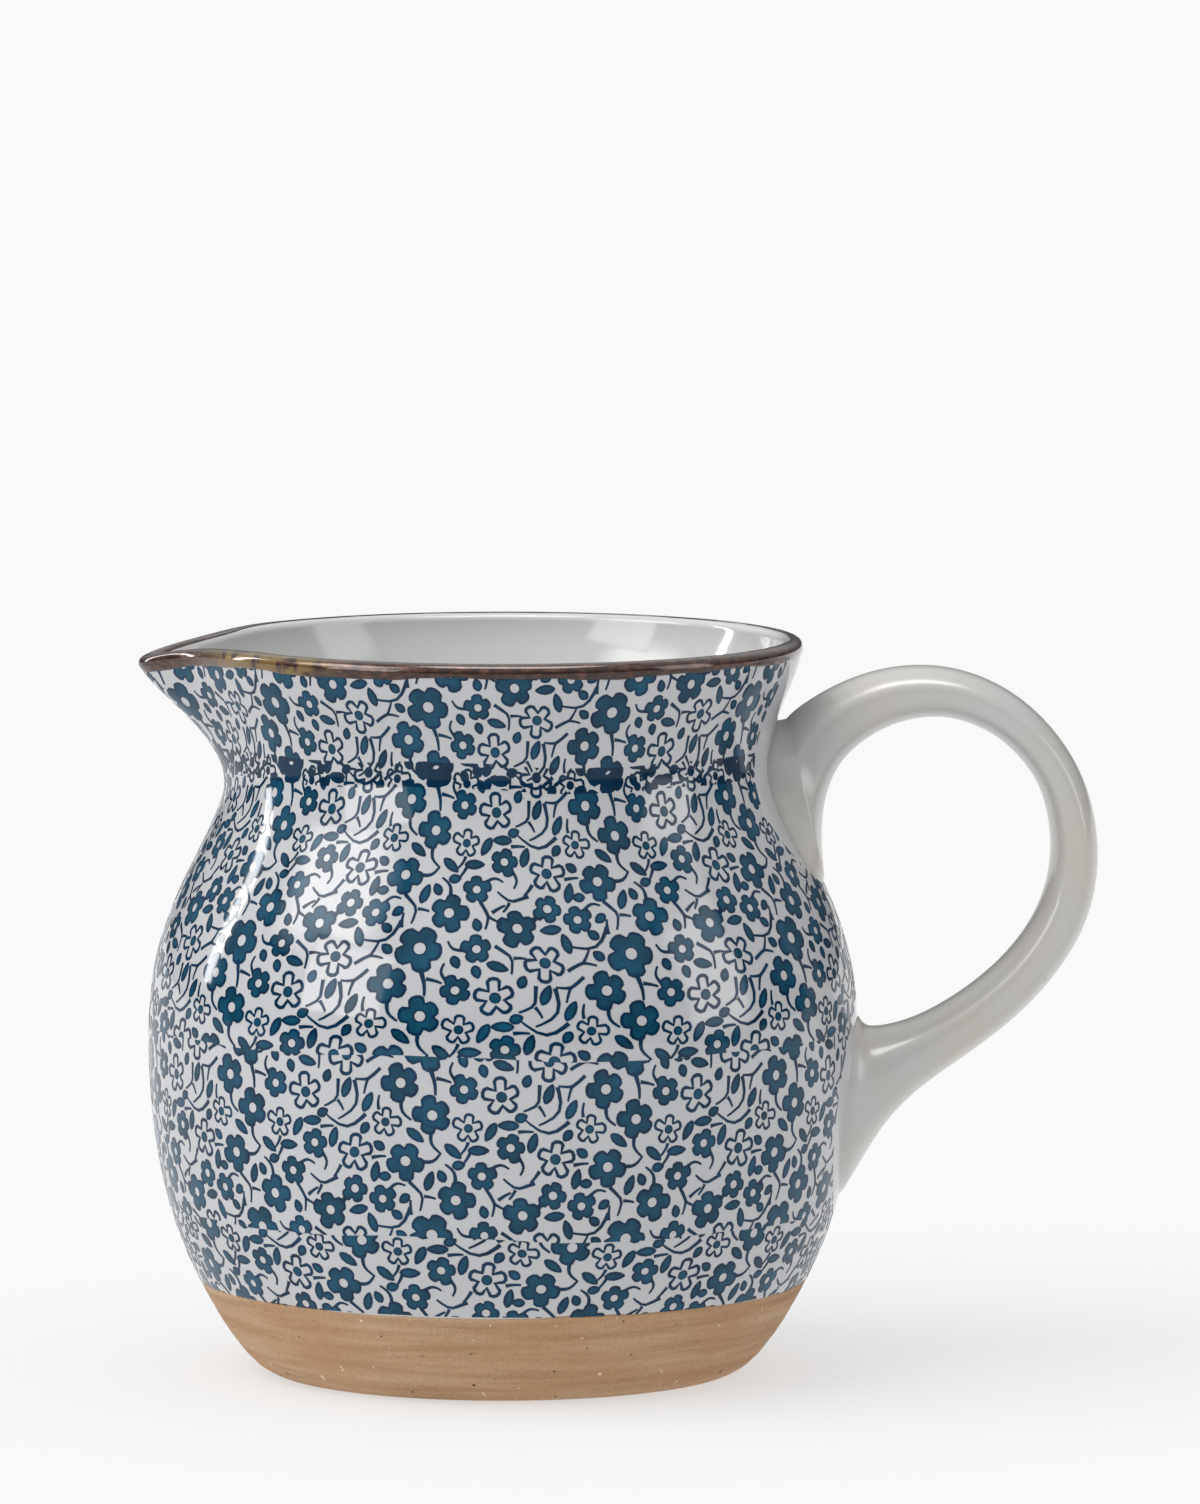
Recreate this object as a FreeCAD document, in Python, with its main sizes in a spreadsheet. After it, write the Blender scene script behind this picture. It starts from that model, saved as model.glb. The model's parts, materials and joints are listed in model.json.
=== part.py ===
import FreeCAD, Part
import os
import Sketcher

# A wheel-thrown stoneware cream jug: a bellied body with a pulled spout at -X and a
# strap handle at +X.  Origin on the body's axis at the plane of the foot, +Z up.
# The thrown and glazed layers are nested forms that share one profile at several insets.

SIZES = [
    # the glazed wall, as the control points of its profile, from the foot to above the rim
    ("foot_edge_radius", 32.2), ("foot_edge_height", 0.0),
    ("foot_round_radius", 35.5), ("foot_round_height", 2.0),
    ("lower_wall_radius", 41.8), ("lower_wall_height", 12.0),
    ("rising_wall_radius", 47.1), ("rising_wall_height", 26.0),
    ("belly_radius", 48.7), ("belly_height", 44.0),
    ("shoulder_radius", 47.7), ("shoulder_height", 58.0),
    ("neck_base_radius", 42.0), ("neck_base_height", 70.0),
    ("neck_curve_radius", 36.8), ("neck_curve_height", 80.0),
    ("neck_throat_radius", 36.4), ("neck_throat_height", 90.0),
    ("rim_flare_radius", 41.4), ("rim_flare_height", 97.0),
    ("rim_top_radius", 41.1), ("rim_top_height", 104.0),
    # how far each nested form lies inside the glazed wall
    ("printed_inset", -0.12),
    ("glazed_inset", 0.0),
    ("clay_inset", 0.35),
    ("lining_inset", 2.65),
    ("cavity_inset", 3.0),
    # how far the cutting blocks reach past the jug
    ("sky_height", 200.0),
    ("under_foot", 10.0),
    # the foot and the floor
    ("glaze_line", 12.6),
    ("clay_floor", 6.0),
    ("cavity_floor", 6.35),
    ("floor_corner", 9.0),
    ("foot_recess_radius", 26.0),
    ("foot_recess_depth", 1.4),
    # the rim, which dips to the tip of the spout
    ("crest_height", 100.0),
    ("crest_drop", 0.0),
    ("clay_lip_drop", 0.35),
    ("band_drop", 2.0),
    ("dip_start", 33.0),
    ("dip_radius", 41.0),
    ("dip_end", 58.0),
    # the seams between the printed sheets, and the bare rounds left for the handle
    ("neck_seam", 83.0),
    ("belly_seam", 48.0),
    ("foot_seam", 23.5),
    ("upper_clear_height", 80.0), ("upper_clear_radius", 13.5),
    ("lower_clear_height", 36.0), ("lower_clear_radius", 15.5),
    # the glaze over the strap handle
    ("strap_skin", 0.35),
]

PROFILE = [
    "foot_edge", "foot_round", "lower_wall", "rising_wall", "belly", "shoulder",
    "neck_base", "neck_curve", "neck_throat", "rim_flare", "rim_top",
]

# level of the spout: height, reach of its tip, radius of its nose, radius its flanks aim at
SPOUT_LEVELS = [
    ("spout_start", 76.0, 37.6, 22.0, 37.2),
    ("spout_low", 82.0, 38.7, 14.0, 36.2),
    ("spout_rise", 87.0, 40.6, 10.0, 36.3),
    ("spout_throat", 91.5, 44.8, 7.0, 37.2),
    ("spout_lip", 95.5, 49.2, 5.6, 38.8),
    ("spout_crest", 99.0, 51.4, 5.4, 40.0),
    ("spout_above", 104.0, 53.4, 5.4, 40.2),
]

# station of the strap: distance from the axis, height, tilt of its run, depth, width
STRAP = [
    ("upper_seat", 34.7, 79.1, 18.0, 16.0, 20.0),
    ("upper_root", 40.9, 81.1, 18.0, 16.0, 19.4),
    ("upper_throat", 42.2, 84.9, 20.0, 11.6, 17.4),
    ("upper_flare", 44.5, 87.8, 24.0, 8.9, 15.8),
    ("upper_rise", 48.7, 90.8, 21.0, 7.9, 14.6),
    ("upper_run", 53.4, 92.4, 13.0, 7.3, 14.1),
    ("crown", 58.2, 92.9, 0.0, 6.9, 14.0),
    ("outer_crown", 65.2, 91.3, -30.0, 6.4, 14.0),
    ("outer_shoulder", 72.2, 86.2, -55.0, 6.2, 14.0),
    ("outer_bend", 76.9, 78.7, -75.0, 6.2, 14.0),
    ("back", 78.1, 70.7, -92.0, 6.6, 14.0),
    ("lower_back", 76.0, 61.3, -112.0, 6.6, 14.0),
    ("lower_bend", 70.6, 53.4, -132.0, 6.9, 14.0),
    ("lower_run", 63.0, 47.2, -145.0, 7.2, 14.2),
    ("lower_rise", 57.0, 43.6, -155.0, 8.3, 14.8),
    ("lower_flare", 53.2, 41.6, -164.0, 10.2, 16.2),
    ("lower_throat", 50.6, 39.6, -174.0, 14.0, 18.4),
    ("lower_root", 48.1, 36.2, -183.0, 20.6, 20.6),
    ("lower_seat", 41.2, 36.5, -183.0, 20.6, 21.4),
]

doc = FreeCAD.newDocument("CreamJug")
sheet = doc.addObject("Spreadsheet::Sheet", "Sizes")


def fill_sheet():
    """Write every driving size into the sheet, one aliased cell to a row."""
    rows = list(SIZES)
    for name, height, reach, nose, flank in SPOUT_LEVELS:
        rows += [
            (name + "_height", height), (name + "_reach", reach),
            (name + "_nose", nose), (name + "_flank", flank),
        ]
    for name, distance, height, tilt, depth, width in STRAP:
        rows += [
            (name + "_distance", distance), (name + "_height", height),
            (name + "_tilt", tilt), (name + "_depth", depth), (name + "_width", width),
        ]
    for row, (name, value) in enumerate(rows, start=1):
        sheet.set(f"A{row}", name)
        sheet.set(f"B{row}", str(value))
        sheet.setAlias(f"B{row}", name)
    doc.recompute()


def size(name):
    """Value of a sheet cell by its alias."""
    return float(sheet.get(name))


def origin_plane(body, role):
    """One of a body's own origin planes."""
    return next(f for f in body.Origin.OriginFeatures if f.Role == role)


def new_sketch(body, name, role, height=None):
    """Sketch on an origin plane of its body, raised to a height from the sheet if one is named."""
    sketch = body.newObject("Sketcher::SketchObject", name)
    sketch.AttachmentSupport = [(origin_plane(body, role), "")]
    sketch.MapMode = "FlatFace"
    if height:
        sketch.AttachmentOffset = FreeCAD.Placement(
            FreeCAD.Vector(0, 0, size(height)), FreeCAD.Rotation()
        )
        sketch.setExpression(".AttachmentOffset.Base.z", f"Sizes.{height}")
    return sketch


def bind(sketch, kind, geometry, point, value, expression, name):
    """Constrain a point's distance from the sketch's origin, or a radius, to the sheet."""
    if kind == "Radius":
        index = sketch.addConstraint(Sketcher.Constraint(kind, geometry, abs(value)))
    else:
        index = sketch.addConstraint(
            Sketcher.Constraint(kind, -1, 1, geometry, point, value)
        )
    sketch.renameConstraint(index, name)
    sketch.setExpression(f"Constraints.{name}", expression)


def join_ends(sketch, edges):
    """Close a loop of edges, each one's end on the next one's start."""
    for first, second in zip(edges, edges[1:] + edges[:1]):
        sketch.addConstraint(Sketcher.Constraint("Coincident", first, 2, second, 1))


def wall_profile(body, inset):
    """Closed half section: the wall's spline, its top, the axis and its bottom."""
    sketch = new_sketch(body, body.Name + "_profile", "XZ_Plane")
    poles = [
        FreeCAD.Vector(size(p + "_radius") - size(inset), size(p + "_height"), 0)
        for p in PROFILE
    ]
    curve = Part.BSplineCurve()
    curve.buildFromPoles(poles, False, 3)
    wall = sketch.addGeometry(curve, False)
    sketch.exposeInternalGeometry(wall)
    for number, name in enumerate(PROFILE):
        pole = wall + 1 + number
        radius = f"Sizes.{name}_radius - Sizes.{inset}"
        bind(sketch, "DistanceX", pole, 3, poles[number].x, radius, name + "_out")
        if number:
            height = f"Sizes.{name}_height"
            bind(sketch, "DistanceY", pole, 3, poles[number].y, height, name + "_up")
    corners = [poles[-1], FreeCAD.Vector(0, poles[-1].y, 0), FreeCAD.Vector(0, 0, 0), poles[0]]
    sides = [
        sketch.addGeometry(Part.LineSegment(start, end), False)
        for start, end in zip(corners, corners[1:])
    ]
    join_ends(sketch, [wall] + sides)
    sketch.addConstraint(Sketcher.Constraint("Horizontal", sides[0]))
    sketch.addConstraint(Sketcher.Constraint("Coincident", sides[1], 2, -1, 1))
    sketch.addConstraint(Sketcher.Constraint("Vertical", sides[1]))
    sketch.addConstraint(Sketcher.Constraint("Horizontal", sides[2]))
    return sketch


def spout_section(body, level, inset):
    """Section of the pulled spout: two straight flanks that meet in a round nose."""
    sketch = new_sketch(body, f"{body.Name}_{level}", "XY_Plane", level + "_height")
    nose = size(level + "_nose") - size(inset)
    centre = size(level + "_nose") - size(level + "_reach")
    flank = size(level + "_flank") - size(inset)
    lean = FreeCAD.Vector((flank - nose) / centre, 0, 0)
    lean.y = (1 - lean.x**2) ** 0.5
    middle = FreeCAD.Vector(centre, 0, 0)
    upper, lower = lean * nose + middle, FreeCAD.Vector(lean.x, -lean.y, 0) * nose + middle
    root_up, root_down = lean * flank, FreeCAD.Vector(lean.x, -lean.y, 0) * flank
    tip = middle - FreeCAD.Vector(nose, 0, 0)
    arc = sketch.addGeometry(Part.Arc(upper, tip, lower), False)
    flank_down = sketch.addGeometry(Part.LineSegment(lower, root_down), False)
    back = sketch.addGeometry(Part.LineSegment(root_down, root_up), False)
    flank_up = sketch.addGeometry(Part.LineSegment(root_up, upper), False)
    start, end = (1, 2) if (sketch.Geometry[arc].StartPoint - upper).Length < 1e-6 else (2, 1)
    joint = Sketcher.Constraint
    sketch.addConstraint(joint("Tangent", arc, end, flank_down, 1))
    sketch.addConstraint(joint("Coincident", flank_down, 2, back, 1))
    sketch.addConstraint(joint("Coincident", back, 2, flank_up, 1))
    sketch.addConstraint(joint("Tangent", flank_up, 2, arc, start))
    sketch.addConstraint(joint("Symmetric", back, 1, back, 2, -1))
    bind(
        sketch, "DistanceX", arc, 3, centre,
        f"Sizes.{level}_nose - Sizes.{level}_reach", "nose_centre",
    )
    bind(sketch, "Radius", arc, 0, nose, f"Sizes.{level}_nose - Sizes.{inset}", "nose_radius")
    aim = f"(Sizes.{level}_flank - Sizes.{inset})"
    slope = f"((Sizes.{level}_flank - Sizes.{level}_nose) / (Sizes.{level}_reach - Sizes.{level}_nose))"
    bind(sketch, "DistanceX", flank_up, 1, root_up.x, f"-{aim} * {slope}", "flank_root")
    return sketch


def thrown_form(name, inset, floor=None):
    """The jug as one closed form at an inset from its glazed wall, up to above the rim."""
    body = doc.addObject("PartDesign::Body", name)
    profile = wall_profile(body, inset)
    wall = body.newObject("PartDesign::Revolution", name + "_wall")
    wall.Profile = profile
    wall.ReferenceAxis = (profile, ["V_Axis"])
    wall.Angle = 360
    sections = [spout_section(body, level[0], inset) for level in SPOUT_LEVELS]
    doc.recompute()
    spout = body.newObject("PartDesign::AdditiveLoft", name + "_spout")
    spout.Profile = sections[0]
    spout.Sections = sections[1:]
    doc.recompute()
    if floor:
        cut_floor(body, name, floor)
    return body


def cut_floor(body, name, floor):
    """Take away what lies below a floor and round the corner between floor and wall."""
    before = body.Shape.Volume
    sketch = new_sketch(body, name + "_below", "XY_Plane")
    circle = sketch.addGeometry(
        Part.Circle(FreeCAD.Vector(0, 0, 0), FreeCAD.Vector(0, 0, 1), size("belly_radius")), False
    )
    sketch.addConstraint(Sketcher.Constraint("Coincident", circle, 3, -1, 1))
    bind(sketch, "Radius", circle, 0, size("belly_radius"), "Sizes.belly_radius", "clear")
    below = body.newObject("PartDesign::Pocket", name + "_floor")
    below.Profile = sketch
    below.Length = size(floor)
    below.setExpression("Length", f"Sizes.{floor}")
    below.Reversed = True
    doc.recompute()
    assert body.Shape.Volume < before - 1000, "the floor pocket cuts nothing"
    edges = [
        f"Edge{number}"
        for number, edge in enumerate(below.Shape.Edges, start=1)
        if edge.BoundBox.ZMax < size(floor) + 1e-3 and edge.BoundBox.XLength > size(floor)
    ]
    corner = body.newObject("PartDesign::Fillet", name + "_corner")
    corner.Base = (below, edges)
    corner.Radius = size("floor_corner")
    corner.setExpression("Radius", "Sizes.floor_corner")
    doc.recompute()


def space_above(name, drop):
    """Everything above the rim's surface let down by a drop; it dips along the spout."""
    body = doc.addObject("PartDesign::Body", name)
    sketch = new_sketch(body, name + "_side", "XZ_Plane")
    level = size("crest_height") - size(drop)
    radius, start, end = size("dip_radius"), size("dip_start"), size("dip_end")
    run = end - start
    low = level - radius + (radius**2 - run**2) ** 0.5
    mid = level - radius + (radius**2 - run**2 / 4) ** 0.5
    top, far = level + end, 2 * end
    at = FreeCAD.Vector
    dip = Part.Arc(at(-start, level, 0), at(-start - run / 2, mid, 0), at(-end, low, 0))
    corners = [at(-end, low, 0), at(-end, top, 0), at(far, top, 0), at(far, level, 0), at(-start, level, 0)]
    arc = sketch.addGeometry(dip, False)
    sides = [
        sketch.addGeometry(Part.LineSegment(first, second), False)
        for first, second in zip(corners, corners[1:])
    ]
    begin, finish = (1, 2) if abs(sketch.Geometry[arc].StartPoint.x + start) < 1e-6 else (2, 1)
    link = Sketcher.Constraint
    sketch.addConstraint(link("Coincident", arc, finish, sides[0], 1))
    for first, second in zip(sides, sides[1:]):
        sketch.addConstraint(link("Coincident", first, 2, second, 1))
    sketch.addConstraint(link("Coincident", sides[-1], 2, arc, begin))
    for side, way in zip(sides, ("Vertical", "Horizontal", "Vertical", "Horizontal")):
        sketch.addConstraint(link(way, side))
    rim = f"Sizes.crest_height - Sizes.{drop}"
    bind(sketch, "DistanceY", sides[-1], 2, level, rim, "rim_level")
    bind(sketch, "DistanceX", sides[-1], 2, -start, "-Sizes.dip_start", "dip_from")
    bind(sketch, "DistanceX", arc, 3, -start, "-Sizes.dip_start", "dip_centre")
    bind(sketch, "Radius", arc, 0, radius, "Sizes.dip_radius", "dip_bend")
    bind(sketch, "DistanceX", sides[0], 1, -end, "-Sizes.dip_end", "dip_to")
    pad = body.newObject("PartDesign::Pad", name + "_pad")
    pad.Profile = sketch
    pad.Length = 4 * end
    pad.Midplane = True
    doc.recompute()
    return body


def strap_form(name, skin=None):
    """The strap handle as a loft of oval sections, its roots running into the wall."""
    ovals = []
    for station, *_ in STRAP:
        oval = doc.addObject("Part::Ellipse", f"{name}_{station}")
        less = f" - Sizes.{skin}" if skin else ""
        oval.MajorRadius = size(station + "_width") / 2
        oval.setExpression("MajorRadius", f"Sizes.{station}_width / 2{less}")
        oval.setExpression("MinorRadius", f"Sizes.{station}_depth / 2{less}")
        run = FreeCAD.Rotation(FreeCAD.Vector(0, 1, 0), -size(station + "_tilt"))
        across = FreeCAD.Rotation(
            FreeCAD.Vector(0, 1, 0), FreeCAD.Vector(0, 0, 1), FreeCAD.Vector(1, 0, 0), "ZXY"
        )
        centre = FreeCAD.Vector(size(station + "_distance"), 0, size(station + "_height"))
        oval.Placement = FreeCAD.Placement(centre, run * across)
        ovals.append(oval)
    strap = doc.addObject("Part::Loft", name)
    strap.Sections = ovals
    strap.Solid = True
    strap.Ruled = False
    doc.recompute()
    return strap


def slab(name, low, high):
    """Wide block between two heights from the sheet."""
    block = doc.addObject("Part::Box", name)
    reach = 4 * size("belly_radius")
    block.Length = block.Width = reach
    block.setExpression("Height", f"Sizes.{high} - Sizes.{low}")
    block.setExpression(".Placement.Base.z", f"Sizes.{low}")
    block.Placement.Base.x = block.Placement.Base.y = -reach / 2
    return block


def handle_clearing(name, height, radius):
    """Round of wall on the handle's side that no printed sheet covers."""
    rod = doc.addObject("Part::Cylinder", name)
    rod.setExpression("Radius", f"Sizes.{radius}")
    rod.Height = size("belly_radius")
    rod.Placement = FreeCAD.Placement(
        FreeCAD.Vector(size("belly_radius") / 2, 0, size(height)),
        FreeCAD.Rotation(FreeCAD.Vector(0, 1, 0), 90),
    )
    rod.setExpression(".Placement.Base.z", f"Sizes.{height}")
    return rod


def cut(name, base, tool):
    """What is left of base without tool."""
    result = doc.addObject("Part::Cut", name)
    result.Base = base
    result.Tool = tool
    doc.recompute()
    return result


def common(name, base, tool):
    """What base and tool share."""
    result = doc.addObject("Part::Common", name)
    result.Base = base
    result.Tool = tool
    doc.recompute()
    return result


def build():
    """Every sub-part of the jug, by the name of its node."""
    fill_sheet()
    printed = thrown_form("printed_form", "printed_inset")
    glazed = thrown_form("glazed_form", "glazed_inset")
    clay = thrown_form("clay_form", "clay_inset")
    lining = thrown_form("lining_form", "lining_inset", "clay_floor")
    cavity = thrown_form("cavity_form", "cavity_inset", "cavity_floor")
    above_crest = space_above("above_crest", "crest_drop")
    above_clay = space_above("above_clay_lip", "clay_lip_drop")
    above_band = space_above("above_band", "band_drop")
    strap = strap_form("strap_form")
    strap_clay = strap_form("strap_clay_form", "strap_skin")
    parts = {}

    glazed_side = slab("glazed_side", "glaze_line", "sky_height")
    wall_skin = cut("wall_skin", glazed, clay)
    skin = common("skin_above_foot", wall_skin, glazed_side)

    thrown = cut("thrown_clay", glazed, skin)
    hollow = cut("hollow_clay", thrown, lining)
    lipped = cut("lipped_clay", hollow, above_clay)
    recess = doc.addObject("Part::Cylinder", "foot_recess")
    recess.setExpression("Radius", "Sizes.foot_recess_radius")
    recess.setExpression("Height", "Sizes.foot_recess_depth + Sizes.under_foot")
    recess.setExpression(".Placement.Base.z", "-Sizes.under_foot")
    parts["clay_body"] = cut("footed_clay", lipped, recess)

    jacket = cut("jacket", skin, above_band)
    parts["outer_glaze"] = cut("jacket_at_handle", jacket, strap)
    liner = cut("liner", lining, cavity)
    parts["inner_glaze"] = cut("liner_below_band", liner, above_band)

    ring = cut("ring", glazed, cavity)
    ring_top = common("ring_top", ring, above_band)
    ring_lip = cut("ring_lip", ring_top, above_crest)
    parts["rim_band"] = cut("ring_over_clay", ring_lip, parts["clay_body"])

    parts["handle"] = cut("strap_outside", strap_clay, glazed)
    strap_skin = cut("strap_skin_shell", strap, strap_clay)
    parts["handle_glaze"] = cut("strap_skin_outside", strap_skin, glazed)
    seats = common("strap_seats", strap_clay, skin)
    middle = slab("upper_side", "neck_base_height", "sky_height")
    parts["upper_handle_slip"] = common("upper_slip_layer", seats, middle)
    parts["lower_handle_slip"] = cut("lower_slip_layer", seats, middle)

    sheets = cut("printed_skin", printed, glazed)
    sheets = cut("printed_below_band", sheets, above_band)
    for height, radius in (
        ("upper_clear_height", "upper_clear_radius"), ("lower_clear_height", "lower_clear_radius")
    ):
        clearing = handle_clearing("bare_" + height, height, radius)
        sheets = cut("printed_clear_" + height, sheets, clearing)
    bands = [
        ("neck_transfer", "neck_seam", "sky_height"),
        ("shoulder_transfer", "belly_seam", "neck_seam"),
        ("belly_transfer", "foot_seam", "belly_seam"),
        ("foot_transfer", "glaze_line", "foot_seam"),
    ]
    for name, low, high in bands:
        parts[name] = common(name + "_sheet", sheets, slab(name + "_band", low, high))
    return parts


def finish(parts):
    """Check every object, label the sub-parts and write each one to its own file."""
    doc.recompute()
    for thing in doc.Objects:
        assert not {"Invalid", "Error"} & set(thing.State), f"{thing.Name} is {thing.State}"
    os.makedirs("parts", exist_ok=True)
    for name, part in parts.items():
        shape = part.Shape
        assert not shape.isNull() and shape.isValid(), f"{name} has a bad shape"
        part.Label = name
        shape.exportStep(f"parts/{name}.step")
        box = shape.optimalBoundingBox()
        print(
            f"{name}: {len(shape.Solids)} solid, {shape.Volume:.1f} mm3, "
            f"x {box.XMin:.1f}..{box.XMax:.1f} y {box.YMin:.1f}..{box.YMax:.1f} "
            f"z {box.ZMin:.1f}..{box.ZMax:.1f}"
        )


finish(build())
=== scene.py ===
"""A small thrown cream jug: bare clay foot, white glaze, blue printed sheets, a lustre rim."""

import json
import math
import random

import bmesh
import bpy
import numpy as np
from bpy.props import FloatProperty, FloatVectorProperty, IntProperty, PointerProperty
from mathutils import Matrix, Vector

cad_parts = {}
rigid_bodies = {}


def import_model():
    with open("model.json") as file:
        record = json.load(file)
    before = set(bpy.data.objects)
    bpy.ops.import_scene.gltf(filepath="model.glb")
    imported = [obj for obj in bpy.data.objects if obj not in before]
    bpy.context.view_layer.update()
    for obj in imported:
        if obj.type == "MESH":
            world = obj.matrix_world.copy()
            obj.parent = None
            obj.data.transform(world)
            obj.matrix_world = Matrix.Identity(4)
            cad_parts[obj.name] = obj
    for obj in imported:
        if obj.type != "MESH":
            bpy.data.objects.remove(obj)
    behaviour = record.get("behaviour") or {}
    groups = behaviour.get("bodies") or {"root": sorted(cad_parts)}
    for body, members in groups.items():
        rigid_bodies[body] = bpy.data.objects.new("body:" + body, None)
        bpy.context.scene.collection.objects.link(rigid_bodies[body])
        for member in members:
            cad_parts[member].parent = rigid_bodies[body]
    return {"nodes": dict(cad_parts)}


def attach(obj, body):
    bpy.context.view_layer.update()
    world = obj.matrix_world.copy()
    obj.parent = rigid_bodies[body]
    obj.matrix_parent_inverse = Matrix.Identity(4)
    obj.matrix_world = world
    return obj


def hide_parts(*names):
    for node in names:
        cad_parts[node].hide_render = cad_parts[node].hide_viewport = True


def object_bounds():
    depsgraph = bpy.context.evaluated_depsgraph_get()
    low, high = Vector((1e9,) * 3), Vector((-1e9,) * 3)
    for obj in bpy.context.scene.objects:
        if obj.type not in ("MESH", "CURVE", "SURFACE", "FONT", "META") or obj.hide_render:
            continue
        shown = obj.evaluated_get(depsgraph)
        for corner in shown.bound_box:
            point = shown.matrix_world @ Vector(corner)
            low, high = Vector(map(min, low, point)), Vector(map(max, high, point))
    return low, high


bl_info = {
    "name": "Cream Jug",
    "version": (1, 0, 0),
    "blender": (4, 5, 0),
    "location": "View3D > Sidebar > Cream Jug",
    "description": "Builds a printed stoneware cream jug round its packed frame",
    "category": "Add Mesh",
}

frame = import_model()
cad_low, cad_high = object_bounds()

MM = 0.001
BODY = "root"
TURN = 2 * math.pi

# All in millimetres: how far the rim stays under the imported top, so that the brown band has room
# on it, how far that band stands proud, and how deep ink and strap are let into the wall.
RIM_ROOM, BAND_PROUD, INK_ROOT, STRAP_ROOT = 0.1, 0.09, 0.02, 0.5

# The spout from above: half its width at its root, in degrees, and how much of it is lost
# towards the rim, how steeply its sides fall, and the angles from its middle where it fades.
SPOUT_WIDTH, SPOUT_NARROWING, SPOUT_FALL, SPOUT_FADE = 15.5, 5.7, 1.25, (0.5, 1.1)

# The wall left bare of print at the lower and the upper root of the handle: the height of its
# middle, half its height and half its width. Above the upper middle it runs on up to the rim.
BARE = [(36.0, 15.0, 16.5), (79.0, 12.5, 15.5)]
BARE_DIVIDE, BARE_NECK, BARE_NARROW = 57.0, 13.5, 90.0

# The glazed wall's profile as control points, radius and height in millimetres.
PROFILE = [
    (32.2, 0.0), (35.5, 2.0), (41.8, 12.0), (47.1, 26.0), (48.7, 44.0), (47.7, 58.0),
    (42.0, 70.0), (36.8, 80.0), (36.4, 90.0), (41.4, 97.0), (41.1, 104.0),
]

# The strap handle from its upper root to its lower one: the outer edge and the inner edge
# as distance from the axis and height, then the width across, all in millimetres.
STRAP = [
    (38.2, 88.4, 44.0, 65.0, 21.0),
    (39.0, 89.4, 43.25, 71.6, 18.6),
    (40.6, 90.7, 43.4, 76.2, 16.6),
    (43.4, 92.5, 44.5, 81.0, 15.2),
    (47.2, 94.4, 47.2, 84.9, 14.5),
    (52.0, 95.9, 52.4, 88.3, 14.1),
    (58.1, 96.4, 57.9, 89.5, 14.0),
    (64.6, 95.1, 62.3, 89.0, 14.0),
    (71.0, 91.6, 67.2, 86.8, 14.0),
    (76.3, 86.0, 71.0, 83.1, 14.0),
    (79.9, 79.4, 73.6, 78.9, 14.0),
    (81.4, 70.6, 74.9, 71.6, 14.0),
    (80.2, 62.6, 73.8, 65.2, 14.0),
    (77.0, 56.2, 71.2, 59.9, 14.0),
    (71.8, 49.8, 67.0, 55.0, 14.0),
    (65.6, 44.7, 61.4, 50.7, 14.2),
    (59.8, 40.8, 56.2, 47.9, 14.8),
    (55.0, 37.1, 52.6, 46.9, 16.0),
    (51.6, 33.2, 50.4, 46.6, 17.8),
    (48.8, 28.6, 49.0, 46.9, 20.0),
    (44.9, 22.0, 48.2, 48.6, 23.0),
]


def length(name, about, size):
    """A length in millimetres as a property."""
    return FloatProperty(name=name, description=about, default=size * MM, unit="LENGTH")


def tint(name, about, colour):
    """A colour as a property."""
    return FloatVectorProperty(
        name=name, description=about, subtype="COLOR", size=3, default=colour)


class JugSizes(bpy.types.PropertyGroup):
    """Sizes of the thrown body and its glazes."""

    wall: length("Wall", "Thickness of the wall with its glazes", 3.0)
    glaze: length("Glaze", "Thickness of a coat of glaze", 0.35)
    glaze_line: length("Glaze line", "Height where the glaze ends above the bare foot", 12.6)
    floor: length("Floor", "Height of the glazed floor inside", 6.35)
    floor_corner: length("Floor corner", "Radius between floor and wall inside", 9.0)
    recess_radius: length("Recess radius", "Radius of the hollow turned under the foot", 26.0)
    recess_depth: length("Recess depth", "Depth of the hollow under the foot", 1.4)
    spout_reach: length("Spout reach", "How far the spout's tip stands out of the neck", 9.8)
    spout_start: length("Spout start", "Height where the spout leaves the neck", 78.0)
    spout_full: length("Spout full", "Height where the spout is at its full reach", 99.0)
    dip_start: length("Dip start", "Distance from the axis where the rim starts to dip", 33.0)
    dip_radius: length("Dip radius", "Radius of the rim's dip towards the tip", 60.0)
    lip_round: length("Lip round", "Height of the rounded top of the lip", 1.3)
    band: length("Rim band", "Height of the brown band outside the rim", 1.9)
    band_end: FloatProperty(
        name="Band end", description="Share of the way over the lip where the band ends",
        default=0.53)


class PrintSizes(bpy.types.PropertyGroup):
    """Sizes of the printed sheets and what is drawn on them."""

    tile_width: length("Repeat width", "Width of one repeat of the print", 27.6)
    tile_height: length("Repeat height", "Height of one repeat of the print", 25.6)
    relief: length("Relief", "How far the ink stands proud of the glaze", 0.03)
    seed: IntProperty(name="Seed", description="Seed of the print's layout", default=11)


class JugColours(bpy.types.PropertyGroup):
    """Colours of clay, glaze and ink."""

    glaze: tint("Glaze", "White glaze", (0.575, 0.58, 0.597))
    lining: tint("Lining", "Glaze inside the jug", (0.70, 0.70, 0.685))
    strap: tint("Strap", "Glaze on the handle", (0.56, 0.553, 0.54))
    clay: tint("Clay", "Bare stoneware of the foot", (0.525, 0.346, 0.208))
    tone: tint("Ink tone", "Filled shapes of the print", (0.003, 0.047, 0.085))
    line: tint("Ink line", "Drawn lines of the print", (0.001, 0.021, 0.052))
    band: tint("Rim band", "Brown lustre of the rim", (0.034, 0.0135, 0.0085))
    floor: tint("Floor", "Studio floor", (0.38, 0.38, 0.38))


def sizes():
    """The jug's sizes by name: lengths in millimetres, and the band's end as a share."""
    group = bpy.context.scene.jug_sizes
    units = {"band_end": 1}
    return {key: getattr(group, key) / units.get(key, MM) for key in JugSizes.__annotations__}


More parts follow.
